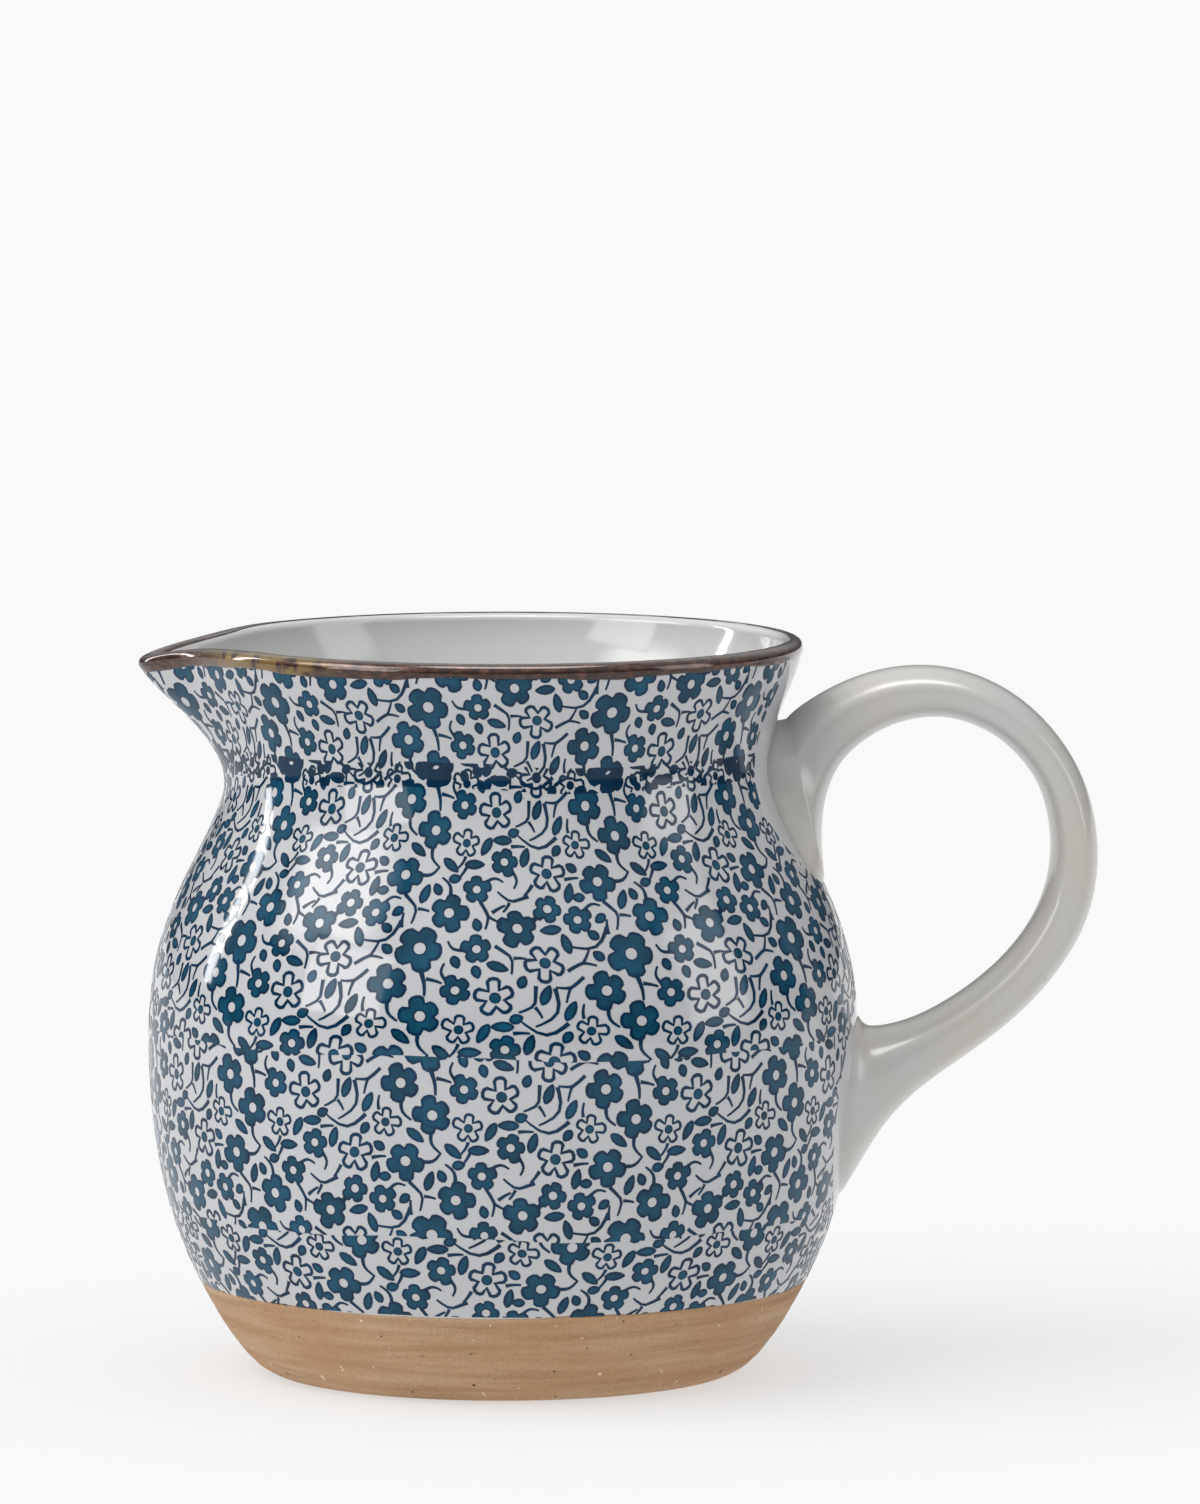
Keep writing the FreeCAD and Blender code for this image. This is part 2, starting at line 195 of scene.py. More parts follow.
def print_sizes():
    """The print's sizes in millimetres by name, and its seed."""
    group = bpy.context.scene.jug_print
    made = {key: getattr(group, key) / MM for key in PrintSizes.__annotations__ if key != "seed"}
    made["seed"] = group.seed
    return made


# ---------------------------------------------------------------- the thrown surface


def spline(points, count):
    """Points of a clamped cubic B-spline through its control points' hull."""
    control = np.array(points, float)
    last, degree = len(control), 3
    knots = np.concatenate(([0.0] * degree, np.linspace(0, 1, last - degree + 1), [1.0] * degree))
    at = np.linspace(0, 1 - 1e-9, count)
    basis = [((knots[i] <= at) & (at < knots[i + 1])).astype(float) for i in range(len(knots) - 1)]
    for power in range(1, degree + 1):
        higher = []
        for i in range(len(knots) - 1 - power):
            left, right = knots[i + power] - knots[i], knots[i + power + 1] - knots[i + 1]
            term = np.zeros(count)
            if left > 0:
                term += (at - knots[i]) / left * basis[i]
            if right > 0:
                term += (knots[i + power + 1] - at) / right * basis[i + 1]
            higher.append(term)
        basis = higher
    return np.stack(basis, axis=1) @ control


WALL = spline(PROFILE, 4000)


def smooth(value, low, high):
    """0 below low, 1 above high, and a smooth step between them."""
    t = np.clip((value - low) / (high - low), 0, 1)
    return t * t * (3 - 2 * t)


def outer_radius(angle, height):
    """Radius of the glazed wall; the spout is drawn out of it at -X."""
    jug = sizes()
    away = np.abs(angle % TURN - math.pi)
    rise = smooth(height, jug["spout_start"], jug["spout_full"])
    half_width = np.radians(SPOUT_WIDTH - SPOUT_NARROWING * rise)
    beak = (1 + (away / half_width) ** 2) ** -SPOUT_FALL * (1 - smooth(away, *SPOUT_FADE))
    return np.interp(height, WALL[:, 1], WALL[:, 0]) + jug["spout_reach"] * rise * beak


def rim_height(angle):
    """Height of the rim's crest, which dips towards the tip of the spout."""
    jug = sizes()
    below_rim = 97.0
    out = -outer_radius(angle, np.full_like(angle, below_rim)) * np.cos(angle)
    dip = np.clip(out - jug["dip_start"], 0, None) ** 2 / (2 * jug["dip_radius"])
    return cad_high.z / MM - RIM_ROOM - dip


def surface(angle, height, proud=0.0):
    """Points on the glazed wall, stood proud along its normal, and those normals."""
    step, rise = 1e-3, 0.05

    def place(a, z):
        r = outer_radius(a, z)
        return np.stack((r * np.cos(a), r * np.sin(a), z), axis=-1)

    at = place(angle, height)
    around = place(angle + step, height) - place(angle - step, height)
    up = place(angle, height + rise) - place(angle, height - rise)
    normal = np.cross(around, up)
    normal /= np.linalg.norm(normal, axis=-1, keepdims=True)
    return at + normal * np.asarray(proud)[..., None], normal


def spout_angles():
    """Angles round the jug, closer together at the spout."""
    fine, coarse, reach = 0.6, 1.2, 24.0
    near = np.arange(180 - reach, 180 + reach, fine)
    rest = np.linspace(180 + reach, 540 - reach, int((360 - 2 * reach) / coarse), endpoint=False)
    return np.radians(np.concatenate((near, rest)) % 360)


def wall_rings(angles, inset, low, high, count):
    """Rings of the outer wall from one height to another, set in by an inset."""
    rings = []
    for share in np.linspace(0, 1, count):
        z = low + (high - low) * share
        rings.append((outer_radius(angles, z) - inset, z))
    return rings


def lip_rings(angles, inset, start, end, count):
    """Rings over the rounded lip, from start to end, 0 at its outside and 1 at its inside."""
    jug = sizes()
    base = rim_height(angles) - jug["lip_round"]
    half = jug["wall"] / 2
    middle = outer_radius(angles, base) - half
    square = 0.8
    rings = []
    for share in np.linspace(start, end, count):
        turn = math.pi * share
        side = np.sign(np.cos(turn)) * np.abs(np.cos(turn)) ** square
        rise = np.clip(np.sin(turn), 0, 1) ** square
        rings.append((middle + (half - inset) * side, base + (jug["lip_round"] - inset) * rise))
    return rings


def inner_rings(angles, inset, count):
    """Rings down the inside of the wall and in over the floor's rounded corner."""
    jug = sizes()
    top = rim_height(angles) - jug["lip_round"]
    floor = jug["floor"] - inset
    corner = jug["floor_corner"]
    bend = floor + corner
    rings = []
    for share in np.linspace(0, 1, count)[1:]:
        z = top + (bend - top) * share
        rings.append((outer_radius(angles, z) - jug["wall"] + inset, z))
    seat = outer_radius(angles, bend * np.ones_like(angles)) - jug["wall"] + inset
    for turn in np.linspace(0, math.pi / 2, 14)[1:]:
        z = (bend - corner * math.sin(turn)) * np.ones_like(angles)
        rings.append((seat - corner * (1 - math.cos(turn)), z))
    for share in (0.75, 0.5, 0.25, 0.08):
        rings.append(((seat - corner) * share, floor * np.ones_like(angles)))
    return rings


def waves(angles, *terms):
    """Sum of sine waves round the jug, each of a size, a number of waves and a phase."""
    return sum(size * np.sin(number * angles + phase) for size, number, phase in terms)


def band_edge(angles):
    """Height of the brown band's slightly wandering lower edge outside the rim."""
    jug = sizes()
    wander = waves(angles, (0.16, 7, 0.6), (0.1, 17, 0), (0.05, 41, 2))
    deeper = 0.35 * smooth(np.cos(angles - 3.6), 0.6, 1.0)
    edge = rim_height(angles) - jug["band"] - deeper + wander
    return np.minimum(edge, rim_height(angles) - jug["lip_round"] - 0.25)


def band_inner(angles):
    """Share of the way over the lip where the brown band ends: further in at the spout."""
    away = np.abs(angles % TURN - math.pi)
    further = 0.16 * (1 - smooth(away, 0.2, 0.8))
    return sizes()["band_end"] + further + waves(angles, (0.015, 9, 0), (0.01, 23, 0))


# ---------------------------------------------------------------- meshes and materials


def add_object(name, data):
    """An object of a mesh, a light or a camera, in the scene."""
    made = bpy.data.objects.new(name, data)
    bpy.context.scene.collection.objects.link(made)
    return made


def mesh_object(name, points, faces):
    """A smooth mesh in the scene from points in millimetres, its faces turned outward."""
    mesh = bpy.data.meshes.new(name)
    mesh.from_pydata((np.asarray(points) * MM).tolist(), [], faces)
    mesh.validate()
    shape = bmesh.new()
    shape.from_mesh(mesh)
    bmesh.ops.recalc_face_normals(shape, faces=shape.faces)
    shape.to_mesh(mesh)
    shape.free()
    mesh.shade_smooth()
    return add_object(name, mesh)


def quads(low, high, count):
    """Faces between two closed loops of points that start at two numbers."""
    pairs = [(i, (i + 1) % count) for i in range(count)]
    return [(low + i, low + j, high + j, high + i) for i, j in pairs]


def tunnel(loops, count, closed):
    """Faces from each loop of points to the next, and from the last to the first if closed."""
    starts = [number * count for number in range(loops)]
    pairs = list(zip(starts, starts[1:])) + ([(starts[-1], 0)] if closed else [])
    return [face for low, high in pairs for face in quads(low, high, count)]


def turned(name, angles, rings, closed=False):
    """A piece turned from rings round the axis; open ends are closed with a pole."""
    count = len(angles)
    points, faces = [], tunnel(len(rings), count, closed)
    for radius, height in rings:
        radius = radius * np.ones(count)
        height = height * np.ones(count)
        points += np.stack((radius * np.cos(angles), radius * np.sin(angles), height), 1).tolist()
    if not closed:
        for ring in (0, len(rings) - 1):
            pole = len(points)
            points.append((0.0, 0.0, float(np.mean(rings[ring][1] * np.ones(count)))))
            low = ring * count
            faces += [(pole, low + i, low + (i + 1) % count) for i in range(count)]
    return mesh_object(name, points, faces)


def finish_piece(piece, material, slot, *nodes):
    """Give a finished piece its material and body, and hide the nodes it stands for. The slot is
    not used.
    """
    if material is not None:
        piece.data.materials.clear()
        piece.data.materials.append(material)
    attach(piece, BODY)
    if nodes:
        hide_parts(*nodes)


class Finish:
    """A procedural material under construction."""

    def __init__(self, name, roughness, specular=0.5, metallic=0.0, coat=0.0):
        self.material = bpy.data.materials.new(name)
        self.material.use_nodes = True
        self.tree = self.material.node_tree
        self.shader = self.tree.nodes["Principled BSDF"]
        for socket, value in (("Roughness", roughness), ("Specular IOR Level", specular),
                              ("Metallic", metallic), ("Coat Weight", coat),
                              ("Coat Roughness", 0.05)):
            self.shader.inputs[socket].default_value = value
        self.coordinates = self.add("ShaderNodeTexCoord").outputs["Object"]

    def add(self, kind, **values):
        """A new node; values set its properties or its inputs."""
        node = self.tree.nodes.new(kind)
        for key, value in values.items():
            if hasattr(node, key):
                setattr(node, key, value)
            else:
                node.inputs[key.replace("_", " ")].default_value = value
        return node

    def link(self, source, target):
        """Join an output to an input."""
        self.tree.links.new(source, target)

    def scaled(self, scale):
        """The piece's coordinates stretched by a scale along each axis, per metre."""
        mapping = self.add("ShaderNodeMapping")
        mapping.inputs["Scale"].default_value = scale
        self.link(self.coordinates, mapping.inputs["Vector"])
        return mapping.outputs["Vector"]

    def noise(self, scale, detail=3.0, roughness=0.5, stretch=None):
        """Noise over the piece, its scale per metre."""
        node = self.add("ShaderNodeTexNoise", Detail=detail, Roughness=roughness)
        node.inputs["Scale"].default_value = 1.0
        self.link(self.scaled(stretch or (scale,) * 3), node.inputs["Vector"])
        return node.outputs["Fac"]

    def ramp(self, source, *stops):
        """Values of a source mapped through stops of position and grey or colour."""
        node = self.add("ShaderNodeValToRGB")
        while len(node.color_ramp.elements) < len(stops):
            node.color_ramp.elements.new(1.0)
        for element, (position, value) in zip(node.color_ramp.elements, stops):
            element.position = position
            grey = (value,) * 3 if isinstance(value, (int, float)) else value
            element.color = (*grey, 1.0)
        self.link(source, node.inputs["Fac"])
        return node.outputs["Color"]

    def spot(self, place, reach, level):
        """A soft spot at a place: 0 at its reach, and 1 where its fading is past a level."""
        mapping = self.add("ShaderNodeMapping", vector_type="TEXTURE")
        mapping.inputs["Location"].default_value = place
        mapping.inputs["Scale"].default_value = reach
        fading = self.add("ShaderNodeTexGradient", gradient_type="SPHERICAL")
        self.link(self.coordinates, mapping.inputs["Vector"])
        self.link(mapping.outputs["Vector"], fading.inputs["Vector"])
        return self.ramp(fading.outputs["Fac"], (0.0, 0.0), (level, 1.0))

    def mix(self, factor, first, second, blend="MIX"):
        """Mix two colours, each a socket or a plain colour."""
        node = self.add("ShaderNodeMix", data_type="RGBA", blend_type=blend)
        for socket, value in ((0, factor), (6, first), (7, second)):
            if isinstance(value, bpy.types.NodeSocket):
                self.link(value, node.inputs[socket])
            elif socket == 0:
                node.inputs[socket].default_value = value
            else:
                node.inputs[socket].default_value = (*value, 1.0)
        return node.outputs[2]

    def bump(self, height, distance, strength=1.0):
        """Bump the surface by a height source, its distance in metres."""
        node = self.add("ShaderNodeBump", Strength=strength, Distance=distance)
        self.link(height, node.inputs["Height"])
        previous = self.shader.inputs["Normal"]
        if previous.is_linked:
            self.link(previous.links[0].from_socket, node.inputs["Normal"])
        self.link(node.outputs["Normal"], previous)

    def done(self, colour):
        """Put the colour on the shader and hand the material over."""
        self.link(colour, self.shader.inputs["Base Color"])
        return self.material


def colours():
    """The jug's colours by name."""
    group = bpy.context.scene.jug_colours
    return {key: tuple(getattr(group, key)) for key in JugColours.__annotations__}


def scaled_colour(colour, *factors):
    """A colour scaled by one factor, or by one for each of its parts."""
    return tuple(part * factor for part, factor in zip(colour, factors * (3 // len(factors))))


def white_glaze():
    """White glaze: slightly warm and cool clouds, faint orange-peel and a few pinholes."""
    look = Finish("white glaze", 0.07)
    base = colours()["glaze"]
    clouds = look.ramp(look.noise(45.0), (0.3, scaled_colour(base, 0.955)), (0.7, base))
    pits = look.ramp(look.noise(1500.0, 1.0), (0.79, 0.0), (0.84, 1.0))
    colour = look.mix(pits, clouds, (0.30, 0.25, 0.2))
    look.bump(look.noise(160.0, 2.0), 0.00003)
    return look.done(colour)


def lining_glaze():
    """Glaze inside: a greener grey with soft throwing rings."""
    look = Finish("lining glaze", 0.09)
    base = colours()["lining"]
    clouds = look.ramp(look.noise(35.0), (0.3, scaled_colour(base, 0.95)), (0.7, base))
    look.bump(look.noise(1.0, 2.0, stretch=(12.0, 12.0, 260.0)), 0.00006)
    return look.done(clouds)


def strap_glaze():
    """Glaze on the handle: grey white, warmer where it runs thin, with a few dark pinholes, and
    painted shade darkening it round the crease at the upper root.
    """
    look = Finish("strap glaze", 0.3, coat=0.4)
    base = colours()["strap"]
    warm = scaled_colour(base, 1.02, 0.97, 0.88)
    clouds = look.ramp(look.noise(55.0), (0.35, base), (0.7, warm))
    pits = look.ramp(look.noise(420.0, 1.0), (0.775, 0.0), (0.80, 1.0))
    # Painted shade: a soft spot turns the glaze a duller grey where the upper root meets the neck,
    # in place of the shade in that crease.
    upper_root_shade = look.spot((0.0385, 0.0, 0.085), (0.013, 0.02, 0.016), 0.6)
    root_shaded = look.mix(upper_root_shade, clouds, (0.45, 0.455, 0.445))
    colour = look.mix(pits, root_shaded, (0.12, 0.09, 0.07))
    look.bump(look.noise(220.0, 2.0), 0.00003)
    return look.done(colour)


def bare_clay():
    """Bare stoneware: fine turning lines, rusty streaks, dark iron specks and pale grog."""
    look = Finish("bare clay", 0.78, specular=0.25)
    base = colours()["clay"]
    dark, pale = scaled_colour(base, 0.72, 0.62, 0.52), scaled_colour(base, 1.14, 1.2, 1.35)
    turning_lines = look.noise(1.0, 5.0, 0.6, (30.0, 30.0, 620.0))
    streaks = look.ramp(turning_lines, (0.3, dark), (0.55, base), (0.8, pale))
    patches = look.ramp(look.noise(1.0, 3.0, 0.5, (60.0, 60.0, 150.0)), (0.45, 0.0), (0.7, 0.55))
    colour = look.mix(patches, streaks, scaled_colour(base, 0.9, 0.74, 0.6))
    grit = look.ramp(look.noise(2600.0, 1.0), (0.3, 0.9), (0.7, 1.06))
    colour = look.mix(1.0, colour, grit, "MULTIPLY")
    iron = look.ramp(look.noise(900.0, 0.5), (0.785, 0.0), (0.81, 1.0))
    colour = look.mix(iron, colour, (0.05, 0.035, 0.03))
    grains = look.noise(1100.0, 0.5, 0.5, (1100.0, 900.0, 1000.0))
    grog = look.ramp(grains, (0.19, 1.0), (0.215, 0.0))
    colour = look.mix(grog, colour, (0.72, 0.6, 0.45))
    look.bump(look.noise(1.0, 4.0, 0.6, (40.0, 40.0, 2200.0)), 0.00006)
    look.bump(look.noise(2400.0, 2.0), 0.00004)
    return look.done(colour)


def ink(name, colour):
    """Ink under gloss, clouded where it lies thin."""
    look = Finish(name, 0.07, specular=0.25)
    thin = tuple(min(1.0, c * 1.9 + 0.002) for c in colour)
    return look.done(look.ramp(look.noise(260.0, 3.0, 0.6), (0.35, colour), (0.72, thin)))


def lustre_band():
    """Brown lustre: half metallic, speckled, worn to gold in patches near the spout."""
    look = Finish("brown lustre", 0.22, metallic=0.3, coat=0.9, specular=0.15)
    base = colours()["band"]
    pale = scaled_colour(base, 5.0, 5.4, 5.6)
    brushed = look.noise(1.0, 4.0, 0.65, (500.0, 500.0, 1400.0))
    streaks = look.ramp(brushed, (0.47, base), (0.72, pale))
    near_spout = look.spot((-0.031, -0.024, 0.099), (0.015, 0.015, 0.012), 0.5)
    patches = look.ramp(look.noise(420.0, 2.0), (0.40, 0.0), (0.52, 1.0))
    worn = look.mix(1.0, near_spout, patches, "MULTIPLY")
    look.bump(look.noise(900.0, 2.0), 0.00004)
    return look.done(look.mix(worn, streaks, (0.20, 0.125, 0.035)))


# ---------------------------------------------------------------- the handle


def strap_rings(inset, count, sides):
    """Rings of the strap between its edges, its roots let into the wall and spread over it."""
    track = spline([STRAP[0]] + STRAP + [STRAP[-1]], 3000)
    middle = (track[:, :2] + track[:, 2:4]) / 2
    travelled = np.concatenate(([0], np.cumsum(np.hypot(*np.diff(middle, axis=0).T))))
    stations = np.linspace(0, travelled[-1], count)
    kept = np.stack([np.interp(stations, travelled, column) for column in track.T], 1)
    turn = np.linspace(0, TURN, sides, endpoint=False)
    square, ribs, root_reach = 0.86, 0.035, 1.5
    across = np.sign(np.sin(turn)) * np.abs(np.sin(turn)) ** square
    along = np.sign(np.cos(turn)) * np.abs(np.cos(turn)) ** square
    fullness = (1 + ribs * np.cos(3 * turn) ** 2) / (1 + ribs)
    rings = []
    for station, (ox, oz, ix, iz, width) in zip(stations, kept):
        deep = np.array((ox - ix, oz - iz)) / 2
        depth = np.linalg.norm(deep)
        deep = deep / depth * (depth - inset)
        x = (ox + ix) / 2 + deep[0] * along
        z = (oz + iz) / 2 + deep[1] * along
        y = across * (width / 2 - inset) * fullness
        sink = 1 - smooth(min(station, travelled[-1] - station), 0.0, root_reach)
        wall = outer_radius(np.zeros_like(z), z) - inset
        on_wall = np.sqrt(np.clip(wall**2 - y**2, 1, None)) - STRAP_ROOT
        rings.append(np.stack((x + (on_wall - x) * sink, y, z), 1))
    return rings


def tube(name, rings, lining=None):
    """A closed tube over rings; with a lining it is a skin round that core."""
    sides = len(rings[0])
    loops = list(rings) + (list(lining)[::-1] if lining else [])
    points = np.concatenate(loops)
    faces = tunnel(len(loops), sides, bool(lining))
    if not lining:
        faces += [tuple(range(sides)), tuple(range(len(points) - sides, len(points)))]
    return mesh_object(name, points, faces)


# ---------------------------------------------------------------- the print

EYE_LINE = 0.2  # width of the line round a flower's eye, in millimetres


def blossom(radius, petals, cleft, turn, fullness, points=6):
    """Outline of a hand-drawn flower: uneven petals with clefts between them."""
    draw = random.Random(round(radius * 100) + round(turn * 10))
    reach = [radius * draw.uniform(0.88, 1.07) for _ in range(petals)]
    swing = [draw.uniform(-0.1, 0.1) for _ in range(petals)]
    outline = []
    for number in range(petals * points):
        petal, step = divmod(number + points // 2, points)
        petal %= petals
        across = (step / points - 0.5) * 2
        lobe = (1 - abs(across) ** fullness) ** 0.8
        length = radius * cleft + (reach[petal] - radius * cleft) * lobe
        angle = TURN * number / (petals * points) + turn + swing[petal] * lobe
        outline.append((length * math.cos(angle), length * math.sin(angle)))
    return outline


def oval(length, width, points=10, sharp=0.0):
    """Outline of a leaf or a seed along X, sharper at its far end."""
    outline = []
    for number in range(points):
        angle = TURN * number / points
        taper = (1 - sharp * (0.5 + 0.5 * math.cos(angle))) * abs(math.sin(angle)) ** 0.35
        outline.append((length / 2 * math.cos(angle), width / 2 * math.sin(angle) * taper))
    return outline


def shrunk(outline, by):
    """Outline moved inwards along its corners' normals."""
    points = np.array(outline)
    along = np.roll(points, -1, 0) - np.roll(points, 1, 0)
    normal = np.stack((along[:, 1], -along[:, 0]), 1)
    normal /= np.linalg.norm(normal, axis=1, keepdims=True)
    return (points - normal * by).tolist()


def moved(points, x, y, turn=0.0):
    """Points turned, then moved."""
    c, s = math.cos(turn), math.sin(turn)
    return [(x + c * px - s * py, y + s * px + c * py) for px, py in points]


def circle(radius, count, turn=0.0):
    """Points of a circle round the origin."""
    turns = [TURN * i / count + turn for i in range(count)]
    return [(radius * math.cos(angle), radius * math.sin(angle)) for angle in turns]


class Drawing:
    """A flat motif under construction: faces of tone and faces of line."""

    def __init__(self):
        self.points = {"tone": [], "line": []}
        self.faces = {"tone": [], "line": []}

    def ring(self, kind, outer, inner):
        """Strip between two outlines of the same number of points."""
        count, base = len(outer), len(self.points[kind])
        self.points[kind] += list(outer) + list(inner)
        self.faces[kind] += quads(base, base + count, count)

    def patch(self, kind, outline):
        """Filled outline, fanned from its middle."""
        base, count = len(self.points[kind]), len(outline)
        self.points[kind] += list(outline) + [tuple(np.mean(outline, axis=0))]
        self.faces[kind] += [(base + i, base + (i + 1) % count, base + count) for i in range(count)]

    def full_flower(self, x, y, radius, turn, eye=0.24, line=0.42):
        """Filled flower: tone inside a darker outline, a white eye with a dark ring."""
        outline = blossom(radius, 5, 0.68, turn, 2.8)
        inner = shrunk(outline, line)
        count = len(outline)
        hole = radius * eye
        eye_ring = circle(hole, count, turn)
        rim = [(px * (1 + EYE_LINE / hole), py * (1 + EYE_LINE / hole)) for px, py in eye_ring]
        self.ring("line", moved(outline, x, y), moved(inner, x, y))
        self.ring("tone", moved(inner, x, y), moved(rim, x, y))
        self.ring("line", moved(rim, x, y), moved(eye_ring, x, y))

    def open_flower(self, x, y, radius, turn, line=0.5, dot=0.76):
        """Drawn flower: a dark outline round white petals and a blue eye."""
        outline = blossom(radius, 5, 0.50, turn, 2.6)
        self.ring("line", moved(outline, x, y), moved(shrunk(outline, line), x, y))
        eye = circle(dot, 10)
        core = shrunk(eye, EYE_LINE)
        self.ring("line", moved(eye, x, y), moved(core, x, y))
        self.patch("tone", moved(core, x, y))

    def leaf(self, x, y, length, width, turn, line=0.34):
        """Filled leaf or seed with a darker outline."""
        outline = oval(length, width, 12, 0.25)
        inner = shrunk(outline, line)
        self.ring("line", moved(outline, x, y, turn), moved(inner, x, y, turn))
        self.patch("tone", moved(inner, x, y, turn))

    def stem(self, course, start, end):
        """Curved line through points, from one width to another."""
        line = spline([course[0]] + course + [course[-1]], 7)
        along = np.gradient(line, axis=0)
        normal = np.stack((-along[:, 1], along[:, 0]), 1)
        normal /= np.maximum(np.linalg.norm(normal, axis=1, keepdims=True), 1e-6)
        half = np.linspace(start / 2, end / 2, len(line))[:, None]
        base = len(self.points["line"])
        self.points["line"] += (line + normal * half).tolist() + (line - normal * half).tolist()
        count = len(line)
        for left in range(base, base + count - 1):
            right = left + count
            self.faces["line"].append((left, right, right + 1, left + 1))


def motifs():
    """The library of motifs: name, drawing, the circles it takes up, how many in a tile."""
    library = []

    def add(name, circles, number):
        drawing = Drawing()
        library.append((name, drawing, circles, number))
        return drawing

    m = add("big_flower", [(0, 0, 3.35), (2.5, -3.3, 0.6), (3.5, -4.7, 0.45)], 1)
    m.full_flower(0, 0, 3.35, 0.3)
    m.stem([(1.5, -2.2), (2.3, -3.1), (3.2, -3.9), (3.8, -5.2)], 0.75, 0.3)
    m = add("flower", [(0, 0, 2.75), (-3.3, 1.2, 0.55), (-4.6, 0.9, 0.45)], 4)
    m.full_flower(0, 0, 2.75, 0.0, 0.25)
    m.stem([(-2.1, 0.8), (-3.1, 1.3), (-4.1, 1.25), (-5.1, 0.5)], 0.6, 0.28)
    m = add("small_flower", [(0, 0, 2.15), (1.9, 1.9, 0.5), (3.1, 1.9, 0.45)], 5)
    m.full_flower(0, 0, 2.15, 0.5, 0.26, 0.34)
    m.stem([(1.2, 1.3), (1.9, 2.0), (2.7, 2.1), (3.5, 1.7)], 0.5, 0.26)
    m = add("flower_pair", [(-2.2, 0, 2.7), (2.6, 1.2, 2.1)], 1)
    m.full_flower(-2.25, 0, 2.75, 0.1)
    m.full_flower(2.7, 1.25, 2.1, 0.8, 0.28, 0.34)
    m.stem([(0.0, 0.2), (0.4, 0.5), (1.0, 0.75)], 0.75, 0.6)
    m = add("open_flower", [(0, 0, 2.85)], 3)
    m.open_flower(0, 0, 2.85, 0.2)
    m = add("open_small", [(0, 0, 2.3), (-2.0, -1.8, 0.5)], 2)
    m.open_flower(0, 0, 2.3, 0.9, 0.4, 0.62)
    m.stem([(-1.1, -1.5), (-1.7, -2.1), (-2.9, -2.3)], 0.5, 0.26)
    m = add("open_pair", [(-2.1, -0.4, 2.7), (2.35, 0.9, 2.3)], 1)
    m.open_flower(-2.2, -0.4, 2.7, 0.0)
    m.open_flower(2.45, 0.95, 2.3, 0.7, 0.4, 0.62)
    m = add("arc_stem", [(-1.9, 0.2, 0.6), (-0.6, 0.8, 0.6), (0.7, 0.7, 0.6), (2.0, 0.1, 0.6)], 3)
    m.stem([(-2.9, -0.5), (-1.1, 1.1), (1.0, 1.1), (2.9, -0.7)], 0.6, 0.26)
    m = add("hook_twig", [(-1.1, 0.5, 0.7), (0.8, 0.3, 0.7), (1.1, -1.0, 0.5)], 4)
    m.stem([(-2.2, 1.0), (-0.6, 0.7), (0.7, 0.6), (1.2, -1.6)], 0.55, 0.28)
    m.stem([(0.6, 0.5), (1.3, 1.0), (2.1, 1.2)], 0.5, 0.26)
    m = add("fork_twig", [(-0.9, 0, 0.6), (0.7, 0, 0.8)], 3)
    m.stem([(-2.1, 0.0), (-0.9, 0.15), (0.3, 0.0)], 0.5, 0.45)
    m.stem([(0.2, 0.0), (1.1, 0.5), (1.9, 1.2)], 0.45, 0.25)
    m.stem([(0.2, 0.0), (1.0, -0.5), (1.6, -1.2)], 0.45, 0.25)
    m = add("leaf", [(-0.7, 0, 0.6), (0.7, 0, 0.6)], 13)
    m.leaf(0, 0, 3.0, 1.65, 0.0)
    m = add("seed", [(0, 0, 0.78)], 13)
    m.leaf(0, 0, 1.9, 1.6, 0.0)
    m = add("tick", [(0, 0, 0.6)], 7)
    m.stem([(-1.0, -0.3), (0.0, 0.15), (1.0, 0.3)], 0.55, 0.26)
    return library


def circles_at(circles, x, y, turn):
    """A motif's circles where it lies."""
    middles = moved([circle[:2] for circle in circles], x, y, turn)
    return [(*middle, circle[2]) for middle, circle in zip(middles, circles)]


def tile_layout(width, height, seed, library):
    """Where each motif of one repeat lies: kind, x, y and turn, never overlapping."""
    draw = random.Random(seed)
    tries, snug, overlap = 260, 0.05, -0.12
    taken, placed = [], []
    for kind, (_, _, circles, number) in enumerate(library):
        small = circles[0][2] < 1.0
        for _ in range(number):
            best, best_room = None, -1e9
            for _ in range(tries):
                pose = draw.uniform(0, width), draw.uniform(0, height), draw.uniform(0, TURN)
                room = 1e9
                for px, py, radius in circles_at(circles, *pose):
                    for tx, ty, taken_radius in taken:
                        dx = abs(px - tx) % width
                        dy = abs(py - ty) % height
                        gap = math.hypot(min(dx, width - dx), min(dy, height - dy))
                        room = min(room, gap - radius - taken_radius)
                wanted = room if small else -abs(room - snug)
                if room > overlap and (best is None or wanted > best_room):
                    best, best_room = pose, wanted
            if best:
                placed.append((kind, *best))
                taken += circles_at(circles, *best)
    return placed


def set_input(modifier, name, value):
    """Set a Geometry Nodes modifier's input by its socket's name."""
    for item in modifier.node_group.interface.items_tree:
        if item.in_out == "INPUT" and item.name == name:
            modifier[item.identifier] = value


